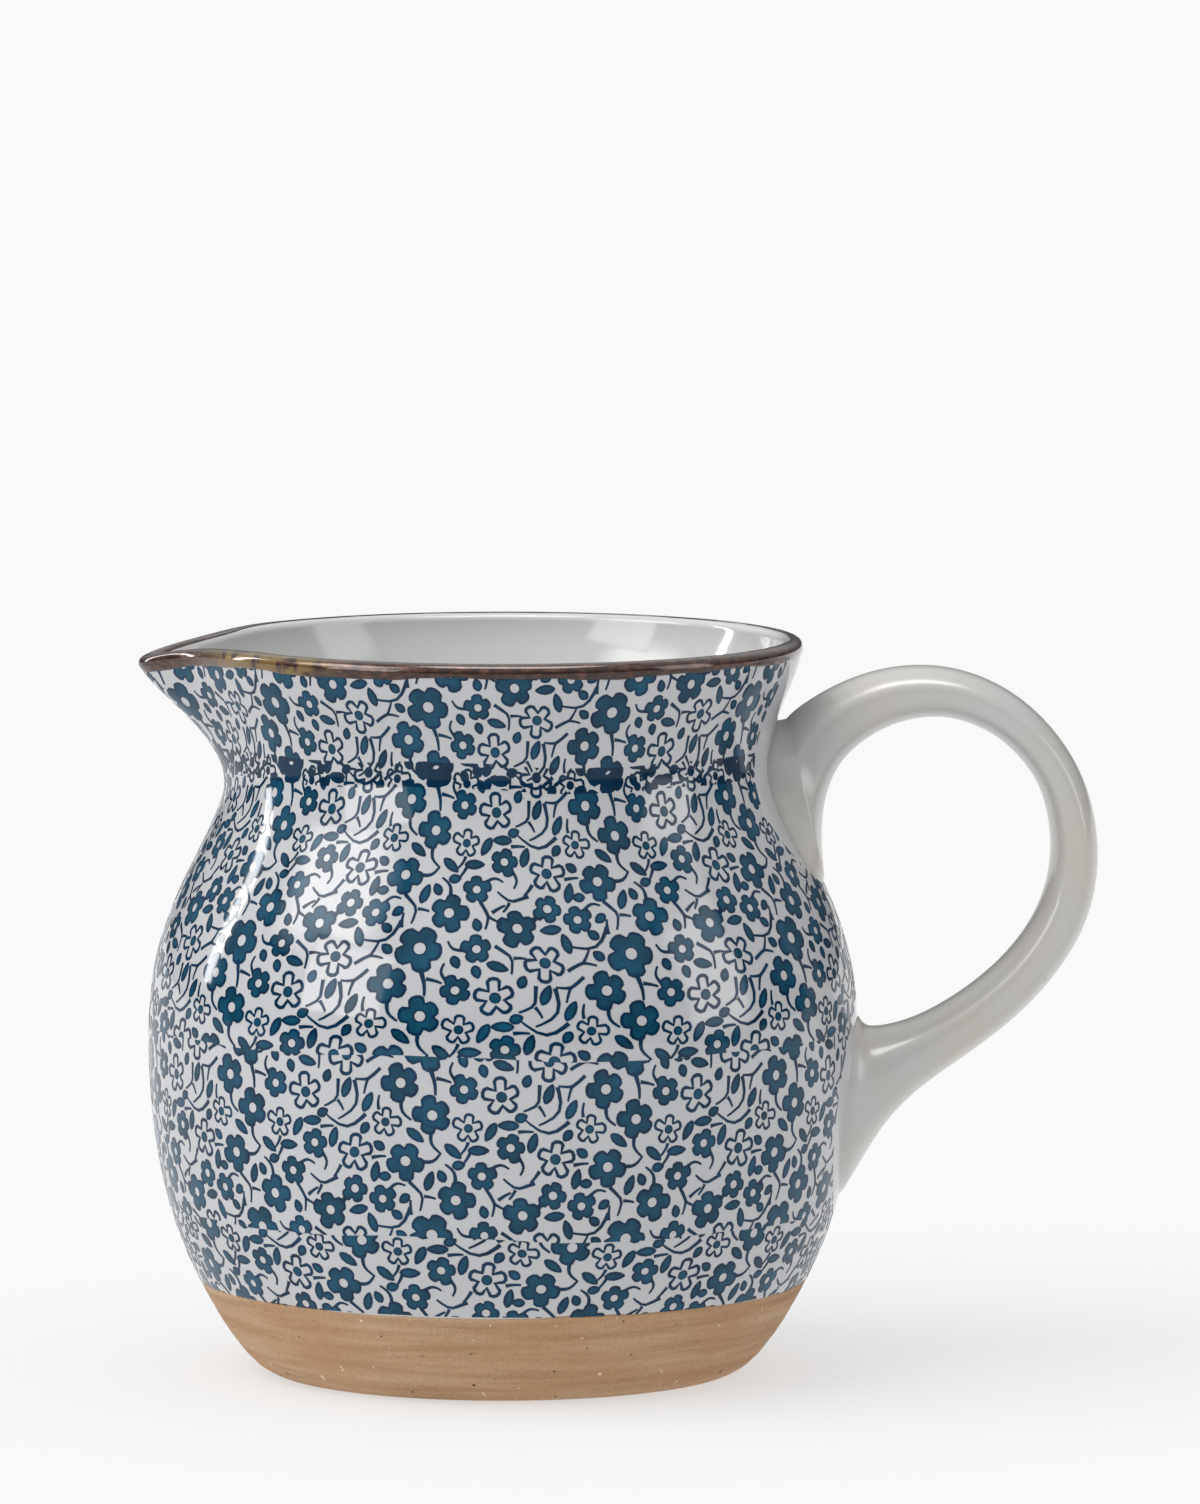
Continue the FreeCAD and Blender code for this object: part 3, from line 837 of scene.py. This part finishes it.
def sheet_tree(material):
    """Geometry Nodes that put a motif from a library on every layout point."""
    tree = bpy.data.node_groups.new("printed repeats", "GeometryNodeTree")
    for name, way, kind in (("Layout", "INPUT", "Geometry"), ("Motifs", "INPUT", "Collection"),
                            ("Scale", "INPUT", "Float"), ("Sheet", "OUTPUT", "Geometry")):
        tree.interface.new_socket(name, in_out=way, socket_type=f"NodeSocket{kind}")
    add = tree.nodes.new
    start, end = add("NodeGroupInput"), add("NodeGroupOutput")
    source = add("GeometryNodeCollectionInfo")
    source.inputs["Separate Children"].default_value = True
    place = add("GeometryNodeInstanceOnPoints")
    place.inputs["Pick Instance"].default_value = True
    kind, turn = add("GeometryNodeInputNamedAttribute"), add("GeometryNodeInputNamedAttribute")
    kind.data_type, turn.data_type = "INT", "FLOAT_VECTOR"
    kind.inputs["Name"].default_value, turn.inputs["Name"].default_value = "kind", "turn"
    spin = add("FunctionNodeEulerToRotation")
    whole, finish = add("GeometryNodeRealizeInstances"), add("GeometryNodeSetMaterial")
    finish.inputs["Material"].default_value = material
    for giver, output, taker, socket in (
        (start, "Layout", place, "Points"), (start, "Motifs", source, "Collection"),
        (source, "Instances", place, "Instance"), (kind, "Attribute", place, "Instance Index"),
        (turn, "Attribute", spin, "Euler"), (spin, "Rotation", place, "Rotation"),
        (start, "Scale", place, "Scale"), (place, "Instances", whole, "Geometry"),
        (whole, "Geometry", finish, "Geometry"), (finish, "Geometry", end, "Sheet"),
    ):
        tree.links.new(giver.outputs[output], taker.inputs[socket])
    return tree


def meridian():
    """Heights up the front of the wall and the distance travelled to each."""
    height = np.linspace(10, 102, 600)
    radius = outer_radius(np.zeros(600), height)
    path = np.concatenate(([0], np.cumsum(np.hypot(np.diff(height), np.diff(radius)))))
    return height, path


def contour(height):
    """Angles round the jug at a height and the distance travelled to each."""
    angle = np.linspace(0, TURN, 1441)
    radius = outer_radius(angle, np.full(1441, height))
    x, y = radius * np.cos(angle), radius * np.sin(angle)
    return angle, np.concatenate(([0], np.cumsum(np.hypot(np.diff(x), np.diff(y)))))


# A printed sheet: the repeats round it, the heights it covers, the height its width is
# measured at, how far it is slid up and round, and how far it laps over at its two edges.
SHEETS = {
    "neck": (10, 82.6, 101.0, 87.0, 3.0, 5.0, 3.4, 0.0),
    "shoulder": (10, 48.0, 82.6, 66.0, 0.0, 12.0, 0.0, 3.4),
    "belly": (11, 23.5, 48.0, 40.0, 14.0, 3.0, 0.0, 0.0),
    "foot": (10, 12.75, 23.5, 18.0, 20.0, 17.0, 0.0, 0.0),
}

# The sheet whose top is lost under the brown band, and the sheets that lie over their neighbours.
OPEN_SHEET, RAISED_SHEETS = "neck", ("shoulder", "foot")

# Degrees that a sheet turns for each millimetre it is slid round, how much higher a raised sheet
# lies, and the longest edge left whole on the neck, in millimetres.
SLIDE_TURN, LAP_RISE, LONG_EDGE = 3.7, 0.012, 1.2


def flat_sheet(name, tree, collection, layout):
    """One sheet's motifs flat on the plane, in millimetres, and its bottom and top there."""
    repeats, low, high, _, slide_up, slide_round, _, lap = SHEETS[name]
    size = print_sizes()
    wide, tall = size["tile_width"], size["tile_height"]
    bottom, top = np.interp((low, high + lap), *meridian())
    margin = 8.0
    points, kinds, turns = [], [], []
    for column in range(repeats):
        for row in range(-2, 4):
            for kind, x, y, turn in layout:
                up = bottom - slide_up + row * tall + y
                if bottom - margin < up < top + margin:
                    points.append((column * wide + (x + slide_round) % wide, up, 0.0))
                    kinds.append(kind)
                    turns.append((0.0, 0.0, turn))
    mesh = bpy.data.meshes.new("layout")
    mesh.from_pydata(points, [], [])
    mesh.attributes.new("kind", "INT", "POINT").data.foreach_set("value", kinds)
    mesh.attributes.new("turn", "FLOAT_VECTOR", "POINT").data.foreach_set("vector", np.ravel(turns))
    layer = add_object("layout", mesh)
    modifier = layer.modifiers.new("repeats", "NODES")
    modifier.node_group = tree
    set_input(modifier, "Motifs", collection)
    set_input(modifier, "Scale", 1.0)
    graph = bpy.context.evaluated_depsgraph_get()
    made = bpy.data.meshes.new_from_object(layer.evaluated_get(graph))
    bpy.data.objects.remove(layer)
    return made, bottom, top


def slice_film(film, height, drop=0):
    """Cut a flat film along a height; drop is 1 to clear what is above it, -1 what is below."""
    whole = film.verts[:] + film.edges[:] + film.faces[:]
    bmesh.ops.bisect_plane(film, geom=whole, plane_co=(0, height, 0), plane_no=(0, drop or 1, 0),
                           clear_outer=drop != 0)


def neck_heights(up, angle, start):
    """Heights on the neck at a distance up the wall from a start, which differ with the angle."""
    levels = np.linspace(start, 103, 90)
    bearings = np.linspace(0, TURN, 361)
    radii = outer_radius(bearings[:, None], levels[None, :])
    steps = np.hypot(np.diff(radii, axis=1), np.diff(levels)[None, :])
    paths = np.concatenate((np.zeros((361, 1)), np.cumsum(steps, 1)), 1)
    share = angle / TURN * 360
    row = np.clip(share.astype(int), 0, 359)
    return np.array([np.interp(v, paths[r] * (1 - f) + paths[r + 1] * f, levels)
                     for v, r, f in zip(up, row, share - row)])


def bare(side, height):
    """How deep a point lies in the wall left bare for the handle: under 1 is inside."""
    neck_from = BARE[1][0]
    deep = np.full(np.shape(side), 9.0)
    for middle, half_height, half_width in BARE:
        deep = np.minimum(deep, np.hypot(side / half_width, (height - middle) / half_height))
    spread = BARE[1][2] - BARE_NECK
    half = BARE_NECK + spread * smooth(height, BARE_NARROW, neck_from)
    return np.minimum(deep, np.where(height > neck_from, np.abs(side) / half, 9.0))


def push_aside(angle, height):
    """Points moved out to the edge of the bare wall, and which of them were inside it."""
    side = ((angle + math.pi) % TURN - math.pi) * outer_radius(angle, height)
    deep = bare(side, height)
    inside = deep < 1
    grow = np.where(inside, 1 / np.maximum(deep, 0.05), 1.0)
    middle = np.where(height < BARE_DIVIDE, BARE[0][0], BARE[1][0])
    moved_height = np.where(height > BARE[1][0], height, middle + (height - middle) * grow)
    height = np.where(inside, moved_height, height)
    return np.where(inside, side * grow / outer_radius(angle, height), angle), height, inside


def close_film(film, upper, lower, normal, dead, lapped):
    """Points, faces, inks and normals of a closed film over a flat one's faces."""
    kept = [face for face in film.faces if face.index not in dead]
    used = sorted({vert.index for face in kept for vert in face.verts})
    number = {index: count for count, index in enumerate(used)}
    count = len(used)
    faces, finish, edges = [], [], {}
    for face in kept:
        corners = [number[vert.index] for vert in face.verts]
        faces += [tuple(corners), tuple(corner + count for corner in reversed(corners))]
        finish += [lapped[face.index]] * 2
        for pair in zip(corners, corners[1:] + corners[:1]):
            edges[pair] = lapped[face.index]
    for (a, b), ink_layer in edges.items():
        if (b, a) not in edges:
            faces.append((b, a, a + count, b + count))
            finish.append(ink_layer)
    points = np.concatenate((upper[used], lower[used]))
    return points, faces, finish, np.concatenate((normal[used], -normal[used]))


def cut_film(name, tree, collection, layout):
    """One sheet as a flat film cut along its edges and laps, and its bottom and top."""
    lap_low, lap_high = SHEETS[name][-2:]
    made, bottom, top = flat_sheet(name, tree, collection, layout)
    film = bmesh.new()
    film.from_mesh(made)
    bpy.data.meshes.remove(made)
    slice_film(film, bottom, -1)
    if name != OPEN_SHEET:
        slice_film(film, top, 1)
    if lap_low:
        slice_film(film, bottom + lap_low)
    if lap_high:
        slice_film(film, top - lap_high)
    if name == OPEN_SHEET:
        long = [edge for edge in film.edges if edge.calc_length() > LONG_EDGE]
        bmesh.ops.subdivide_edges(film, edges=long, cuts=1)
    bmesh.ops.triangulate(film, faces=[face for face in film.faces if len(face.verts) > 4])
    return film, bottom, top


def on_wall(name, flat, bottom):
    """Angles and heights on the wall of a sheet's flat points, its seams wandering a little."""
    repeats, _, _, level, _, slide_round, _, _ = SHEETS[name]
    around, path = contour(level)
    total = repeats * print_sizes()["tile_width"]
    evenly = np.interp(np.linspace(0, path[-1], len(around)), path, around)
    angle = np.interp(flat[:, 0] % total, np.linspace(0, total, len(around)), evenly)
    angle = (angle + math.radians(slide_round * SLIDE_TURN)) % TURN
    height_of, arc = meridian()
    if name == OPEN_SHEET:
        height = neck_heights(flat[:, 1] - bottom, angle, np.interp(bottom, arc, height_of))
    else:
        height = np.interp(flat[:, 1], arc, height_of)
    wander = waves(angle, (0.4, 3, 1.0), (0.22, 7, 1.3), (0.06, 19, 0))
    return angle, height + wander * (0.2 + 0.8 * smooth(height, 13.0, 23.0))


def wrap_sheet(name, tone, tree, collection, inks, layout):
    """One printed sheet of one ink wrapped on the wall as a thin closed film."""
    lap_low, lap_high = SHEETS[name][-2:]
    film, bottom, top = cut_film(name, tree, collection, layout)
    flat = np.array([vert.co[:2] for vert in film.verts])
    angle, height = on_wall(name, flat, bottom)

    under_band, under_lip = 0.35, 0.1
    lip = rim_height(angle) - sizes()["lip_round"]
    limit = np.minimum(band_edge(angle) + under_band, lip - under_lip)
    lost = height > limit + 1e-6
    angle, height, inside = push_aside(angle, np.minimum(height, limit))
    gone = lost | inside
    dead = {face.index for face in film.faces if all(gone[vert.index] for vert in face.verts)}
    lapped = {}
    for face in film.faces:
        middle = sum(vert.co.y for vert in face.verts) / len(face.verts)
        above = name != OPEN_SHEET and middle > top - lap_high
        lapped[face.index] = int(middle < bottom + lap_low or above)

    lift = print_sizes()["relief"] + (LAP_RISE if name in RAISED_SHEETS else 0.0)
    upper, normal = surface(angle, height, np.full(len(angle), lift))
    lower, _ = surface(angle, height, np.full(len(angle), -INK_ROOT))
    points, faces, finish, normals = close_film(film, upper, lower, normal, dead, lapped)
    film.free()
    mesh = bpy.data.meshes.new(f"{name}_print_{tone}")
    mesh.from_pydata((points * MM).tolist(), [], faces)
    for ink_finish in inks:
        mesh.materials.append(ink_finish)
    mesh.polygons.foreach_set("material_index", finish)
    mesh.shade_smooth()
    mesh.normals_split_custom_set_from_vertices(normals)
    return add_object(mesh.name, mesh)


def motif_collection(tone):
    """The library's drawings of one ink as mesh objects, in the library's order."""
    collection = bpy.data.collections.new(f"motifs {tone}")
    for number, (name, drawing, _, _) in enumerate(motifs()):
        mesh = bpy.data.meshes.new(f"{number:02d} {name}")
        flat = [(x, y, 0.0) for x, y in drawing.points[tone]]
        mesh.from_pydata(flat, [], drawing.faces[tone])
        collection.objects.link(bpy.data.objects.new(f"{number:02d} {name} {tone}", mesh))
    return collection


# ---------------------------------------------------------------- operators


class JUG_OT_body(bpy.types.Operator):
    """Turn the bare clay body with its foot and the hollow under it"""

    bl_idname = "jug.body"
    bl_label = "Clay body"

    def execute(self, context):
        """Build the piece."""
        jug = sizes()
        angles = spout_angles()
        coat, line = jug["glaze"], jug["glaze_line"]
        recess, depth = jug["recess_radius"], jug["recess_depth"]
        count, start, chamfer = 46, 0.35, 0.3
        draw = random.Random(4)
        grooves = [0.0]
        for _ in range(count - 1):
            grooves.append(0.55 * grooves[-1] + draw.uniform(-0.03, 0.03))
        rings = [(recess * share, depth) for share in (0.05, 0.3, 0.6, 0.9)]
        rings += [(recess - chamfer, depth), (recess, depth - chamfer)]
        rings += [(recess, 0.25), (recess + chamfer, 0.0)]
        foot = float(outer_radius(np.array(0.0), np.array(0.0)))
        rings += [((recess + foot) / 2, 0.0), (foot - 1.2, 0.0), (foot - 0.45, 0.08)]
        for z, groove in zip(np.linspace(start, line, count), grooves):
            bruise = 0.35 * (1 - smooth(z, 0.2, 1.2))
            rings.append((outer_radius(angles, np.full_like(angles, z)) + groove - bruise, z))
        under_glaze = np.full_like(angles, line + 0.15)
        rings.append((outer_radius(angles, under_glaze) - coat / 2, under_glaze))
        top = rim_height(angles) - jug["lip_round"]
        rings += wall_rings(angles, coat, line + 0.7, top, 40)
        rings += lip_rings(angles, coat, 0.12, 1.0, 8)
        rings += inner_rings(angles, coat, 24)
        piece = turned("clay_body_turned", angles, rings)
        finish_piece(piece, bare_clay(), "bare_clay", "clay_body")
        return {"FINISHED"}


class JUG_OT_glazes(bpy.types.Operator):
    """Pour the white glaze outside and the grey one inside"""

    bl_idname = "jug.glazes"
    bl_label = "Glazes"

    def execute(self, context):
        """Build the two coats."""
        jug = sizes()
        angles = spout_angles()
        overlap = 0.02
        coat = jug["glaze"] - overlap
        low = jug["glaze_line"] + waves(angles, (0.13, 5, 1), (0.09, 13, 0), (0.05, 37, 2))
        top = band_edge(angles) + 0.5
        rings = [(outer_radius(angles, low) - 0.2, low)]
        rings += [(outer_radius(angles, low + 0.08) - 0.04, low + 0.08)]
        rings += wall_rings(angles, 0.0, low + 0.3, top, 106)
        rings += wall_rings(angles, coat, top, low + 0.3, 30)
        outer = turned("outer_glaze_coat", angles, rings, closed=True)
        finish_piece(outer, white_glaze(), "white_glaze", "outer_glaze")

        start, middle = band_inner(angles) - 0.03, np.full_like(angles, 0.2)
        inside = lip_rings(angles, overlap, start, 1.0, 10) + inner_rings(angles, 0.0, 46)
        inside += [(middle, jug["floor"]), (middle, jug["floor"] - coat)]
        inside += inner_rings(angles, coat, 16)[::-1] + lip_rings(angles, coat, start, 1.0, 6)[::-1]
        inner = turned("inner_glaze_coat", angles, inside, closed=True)
        finish_piece(inner, lining_glaze(), "lining_glaze", "inner_glaze")
        return {"FINISHED"}


class JUG_OT_band(bpy.types.Operator):
    """Brush the brown lustre over the rim"""

    bl_idname = "jug.band"
    bl_label = "Rim band"

    def execute(self, context):
        """Build the band."""
        jug = sizes()
        angles = spout_angles()
        low = band_edge(angles)
        base = rim_height(angles) - jug["lip_round"]
        end = band_inner(angles)
        rings = [(outer_radius(angles, low) - 0.01, low)]
        rings += wall_rings(angles, -BAND_PROUD, low + 0.1, base, 4)
        rings += lip_rings(angles, -BAND_PROUD, 0.0, end, 20)[1:]
        rings += lip_rings(angles, 0.1, end, end, 1)
        rings += lip_rings(angles, 0.25, 0.0, end - 0.03, 10)[::-1]
        piece = turned("rim_band_brushed", angles, rings, closed=True)
        finish_piece(piece, lustre_band(), "brown_lustre", "rim_band")
        return {"FINISHED"}


class JUG_OT_handle(bpy.types.Operator):
    """Pull the strap handle and glaze it"""

    bl_idname = "jug.handle"
    bl_label = "Handle"

    def execute(self, context):
        """Build the clay strap and its glaze."""
        glaze, sides = sizes()["glaze"], 56
        clay = tube("handle_strap", strap_rings(glaze, 90, sides))
        finish_piece(clay, bpy.data.materials["bare clay"], "bare_clay", "handle")
        under = strap_rings(glaze - 0.03, 60, sides)
        coat = tube("handle_glaze_coat", strap_rings(0.0, 150, sides), under)
        finish_piece(coat, strap_glaze(), "handle_glaze", "handle_glaze")
        return {"FINISHED"}


class JUG_OT_sheets(bpy.types.Operator):
    """Lay the four printed sheets on the wall"""

    bl_idname = "jug.sheets"
    bl_label = "Printed sheets"

    def execute(self, context):
        """Build a tone piece and a line piece for each sheet."""
        shades, size = colours(), print_sizes()
        lap = scaled_colour(shades["line"], 0.8)
        layout = tile_layout(size["tile_width"], size["tile_height"], size["seed"], motifs())
        for tone in ("tone", "line"):
            inks = [ink(f"blue {tone}", shades[tone]), ink(f"blue {tone} lapped", lap)]
            collection = motif_collection(tone)
            tree = sheet_tree(inks[0])
            for name in SHEETS:
                piece = wrap_sheet(name, tone, tree, collection, inks, layout)
                finish_piece(piece, None, "blue_print", f"{name}_transfer")
            for thing in list(collection.objects):
                bpy.data.objects.remove(thing)
            bpy.data.collections.remove(collection)
        return {"FINISHED"}


class JUG_OT_slips(bpy.types.Operator):
    """Colour the clay slip that joins the handle to the body"""

    bl_idname = "jug.slips"
    bl_label = "Handle slips"

    def execute(self, context):
        """Put the bare clay's material on the two slips."""
        for name in ("upper_handle_slip", "lower_handle_slip"):
            node = frame["nodes"][name]
            node.data.materials.clear()
            node.data.materials.append(bpy.data.materials["bare clay"])
        return {"FINISHED"}


def aim(thing, place, target):
    """Stand a light or a panel at a place, facing a target."""
    way = np.array(target) - np.array(place)
    tilt = math.atan2(math.hypot(way[0], way[1]), -way[2])
    thing.location = place
    thing.rotation_euler = (tilt, 0.0, math.atan2(way[1], way[0]) - math.pi / 2)


def flat_panel(name, wide, tall, look):
    """A flat rectangle round the origin, from half its width and half its height."""
    mesh = bpy.data.meshes.new(name)
    corners = [(-wide, -tall, 0), (wide, -tall, 0), (wide, tall, 0), (-wide, tall, 0)]
    mesh.from_pydata(corners, [], [(0, 1, 2, 3)])
    mesh.materials.append(look.material)
    panel = add_object(name, mesh)
    return panel


def softbox(name, place, target, size, strength, soft=0.4):
    """A glowing panel with soft edges that only shows in glossy surfaces."""
    wide, tall = size[0] / 2, size[1] / 2
    look = Finish(name, 1.0, specular=0.0)
    split = look.add("ShaderNodeSeparateXYZ")
    look.link(look.coordinates, split.inputs[0])
    fades = []
    for axis, reach in (("X", wide), ("Y", tall)):
        from_middle = look.add("ShaderNodeMath", operation="ABSOLUTE")
        look.link(split.outputs[axis], from_middle.inputs[0])
        fade = look.add("ShaderNodeMapRange", interpolation_type="SMOOTHSTEP")
        for socket, value in (("From Min", reach * (1 - soft)), ("From Max", reach),
                              ("To Min", 1.0), ("To Max", 0.0)):
            fade.inputs[socket].default_value = value
        look.link(from_middle.outputs[0], fade.inputs["Value"])
        fades.append(fade.outputs["Result"])
    light = look.add("ShaderNodeEmission")
    look.link(look.mix(1.0, fades[0], fades[1], "MULTIPLY"), light.inputs["Color"])
    light.inputs["Strength"].default_value = strength
    look.link(light.outputs["Emission"], look.tree.nodes["Material Output"].inputs["Surface"])
    panel = flat_panel(name, wide, tall, look)
    aim(panel, place, target)
    panel.visible_camera = panel.visible_diffuse = False
    panel.visible_shadow = panel.visible_transmission = False


def studio_floor():
    """A pale floor that glows a little, so that the jug's shadow on it stays faint."""
    reach, glow = 20.0, 0.545
    look = Finish("studio floor", 0.9, specular=0.1)
    for socket, value in (("Base Color", (*colours()["floor"], 1.0)),
                          ("Emission Color", (1.0, 1.0, 1.0, 1.0)),
                          ("Emission Strength", glow)):
        look.shader.inputs[socket].default_value = value
    flat_panel("floor", reach, reach, look).location.z = -0.0002


def studio_sky():
    """A sky that is pale above and dark below the horizon."""
    world = bpy.data.worlds.new("studio")
    world.use_nodes = True
    sky = world.node_tree
    ramp, split, up = (sky.nodes.new(f"ShaderNode{kind}")
                       for kind in ("ValToRGB", "SeparateXYZ", "TexCoord"))
    stops = ((0.1, (0.10, 0.10, 0.105, 1.0)), (0.6, (0.93, 0.935, 0.94, 1.0)))
    for element, (position, colour) in zip(ramp.color_ramp.elements, stops):
        element.position, element.color = position, colour
    background = sky.nodes["Background"].inputs
    sky.links.new(up.outputs["Generated"], split.inputs[0])
    sky.links.new(split.outputs["Z"], ramp.inputs["Fac"])
    sky.links.new(ramp.outputs["Color"], background["Color"])
    background["Strength"].default_value = 0.92
    bpy.context.scene.world = world


def studio_lights():
    """A soft sun, a tall strip, and panels that show only as reflections."""
    middle = (0.0, 0.0, 0.055)
    key = bpy.data.lights.new("soft key", "SUN")
    key.energy, key.angle = 1.35, 1.2
    sun = add_object("soft key", key)
    sun.visible_glossy = sun.visible_camera = False
    aim(sun, (-1.0, -0.45, 1.05), middle)
    strip = bpy.data.lights.new("left strip", "AREA")
    strip.shape = "RECTANGLE"
    strip.energy, strip.size, strip.size_y = 1.4, 0.065, 0.40
    tall_strip = add_object("left strip", strip)
    tall_strip.visible_diffuse = tall_strip.visible_camera = False
    aim(tall_strip, (-0.74, 0.30, 0.33), middle)
    softbox("left haze", (-0.72, -0.24, 0.74), middle, (0.86, 0.76), 7.0, 0.6)
    softbox("left window", (-0.72, -0.52, 0.36), middle, (0.5, 0.4), 4.5, 0.1)
    softbox("right haze", (0.9, -0.25, 0.35), middle, (0.5, 0.7), 3.0)
    softbox("over", (0.03, -0.12, 1.1), (0.05, 0.0, 0.09), (0.9, 0.8), 8.0, 0.5)


def studio_camera():
    """A long lens a little above the rim, looking slightly down."""
    eye = bpy.data.cameras.new("camera")
    eye.lens, eye.sensor_width, eye.clip_end = 288.4, 36.0, 60.0
    looking_down = 5.75
    camera = add_object("camera", eye)
    camera.location = (0.0132, -1.6305, 0.2485)
    camera.rotation_euler = (math.radians(90.0 - looking_down), 0.0, 0.0)
    bpy.context.scene.camera = camera


class JUG_OT_stage(bpy.types.Operator):
    """Set the pale floor, the soft lights and the camera"""

    bl_idname = "jug.stage"
    bl_label = "Stage"

    def execute(self, context):
        """Build the studio."""
        studio_floor()
        studio_sky()
        studio_lights()
        studio_camera()
        context.scene.view_settings.view_transform = "Standard"
        return {"FINISHED"}


STEPS = [
    JUG_OT_body, JUG_OT_glazes, JUG_OT_band, JUG_OT_handle, JUG_OT_sheets, JUG_OT_slips,
    JUG_OT_stage,
]


class JUG_PT_panel(bpy.types.Panel):
    """Sizes, colours and the steps of the build"""

    bl_idname = "JUG_PT_panel"
    bl_label = "Cream Jug"
    bl_space_type = "VIEW_3D"
    bl_region_type = "UI"
    bl_category = "Cream Jug"

    def draw(self, context):
        """List the sizes and the steps."""
        for group in (context.scene.jug_sizes, context.scene.jug_print, context.scene.jug_colours):
            box = self.layout.box()
            for key in group.__annotations__:
                box.prop(group, key)
        for step in STEPS:
            self.layout.operator(step.bl_idname)


GROUPS = {"jug_sizes": JugSizes, "jug_print": PrintSizes, "jug_colours": JugColours}


def register():
    """Register the add-on."""
    for kind in (*GROUPS.values(), *STEPS, JUG_PT_panel):
        bpy.utils.register_class(kind)
    for name, kind in GROUPS.items():
        setattr(bpy.types.Scene, name, PointerProperty(type=kind))


def unregister():
    """Unregister the add-on."""
    for name in GROUPS:
        delattr(bpy.types.Scene, name)
    for kind in (JUG_PT_panel, *reversed(STEPS), *GROUPS.values()):
        bpy.utils.unregister_class(kind)


def main():
    """Build the jug step by step."""
    register()
    for step in STEPS:
        group, name = step.bl_idname.split(".")
        getattr(getattr(bpy.ops, group), name)()


if __name__ == "__main__":
    main()
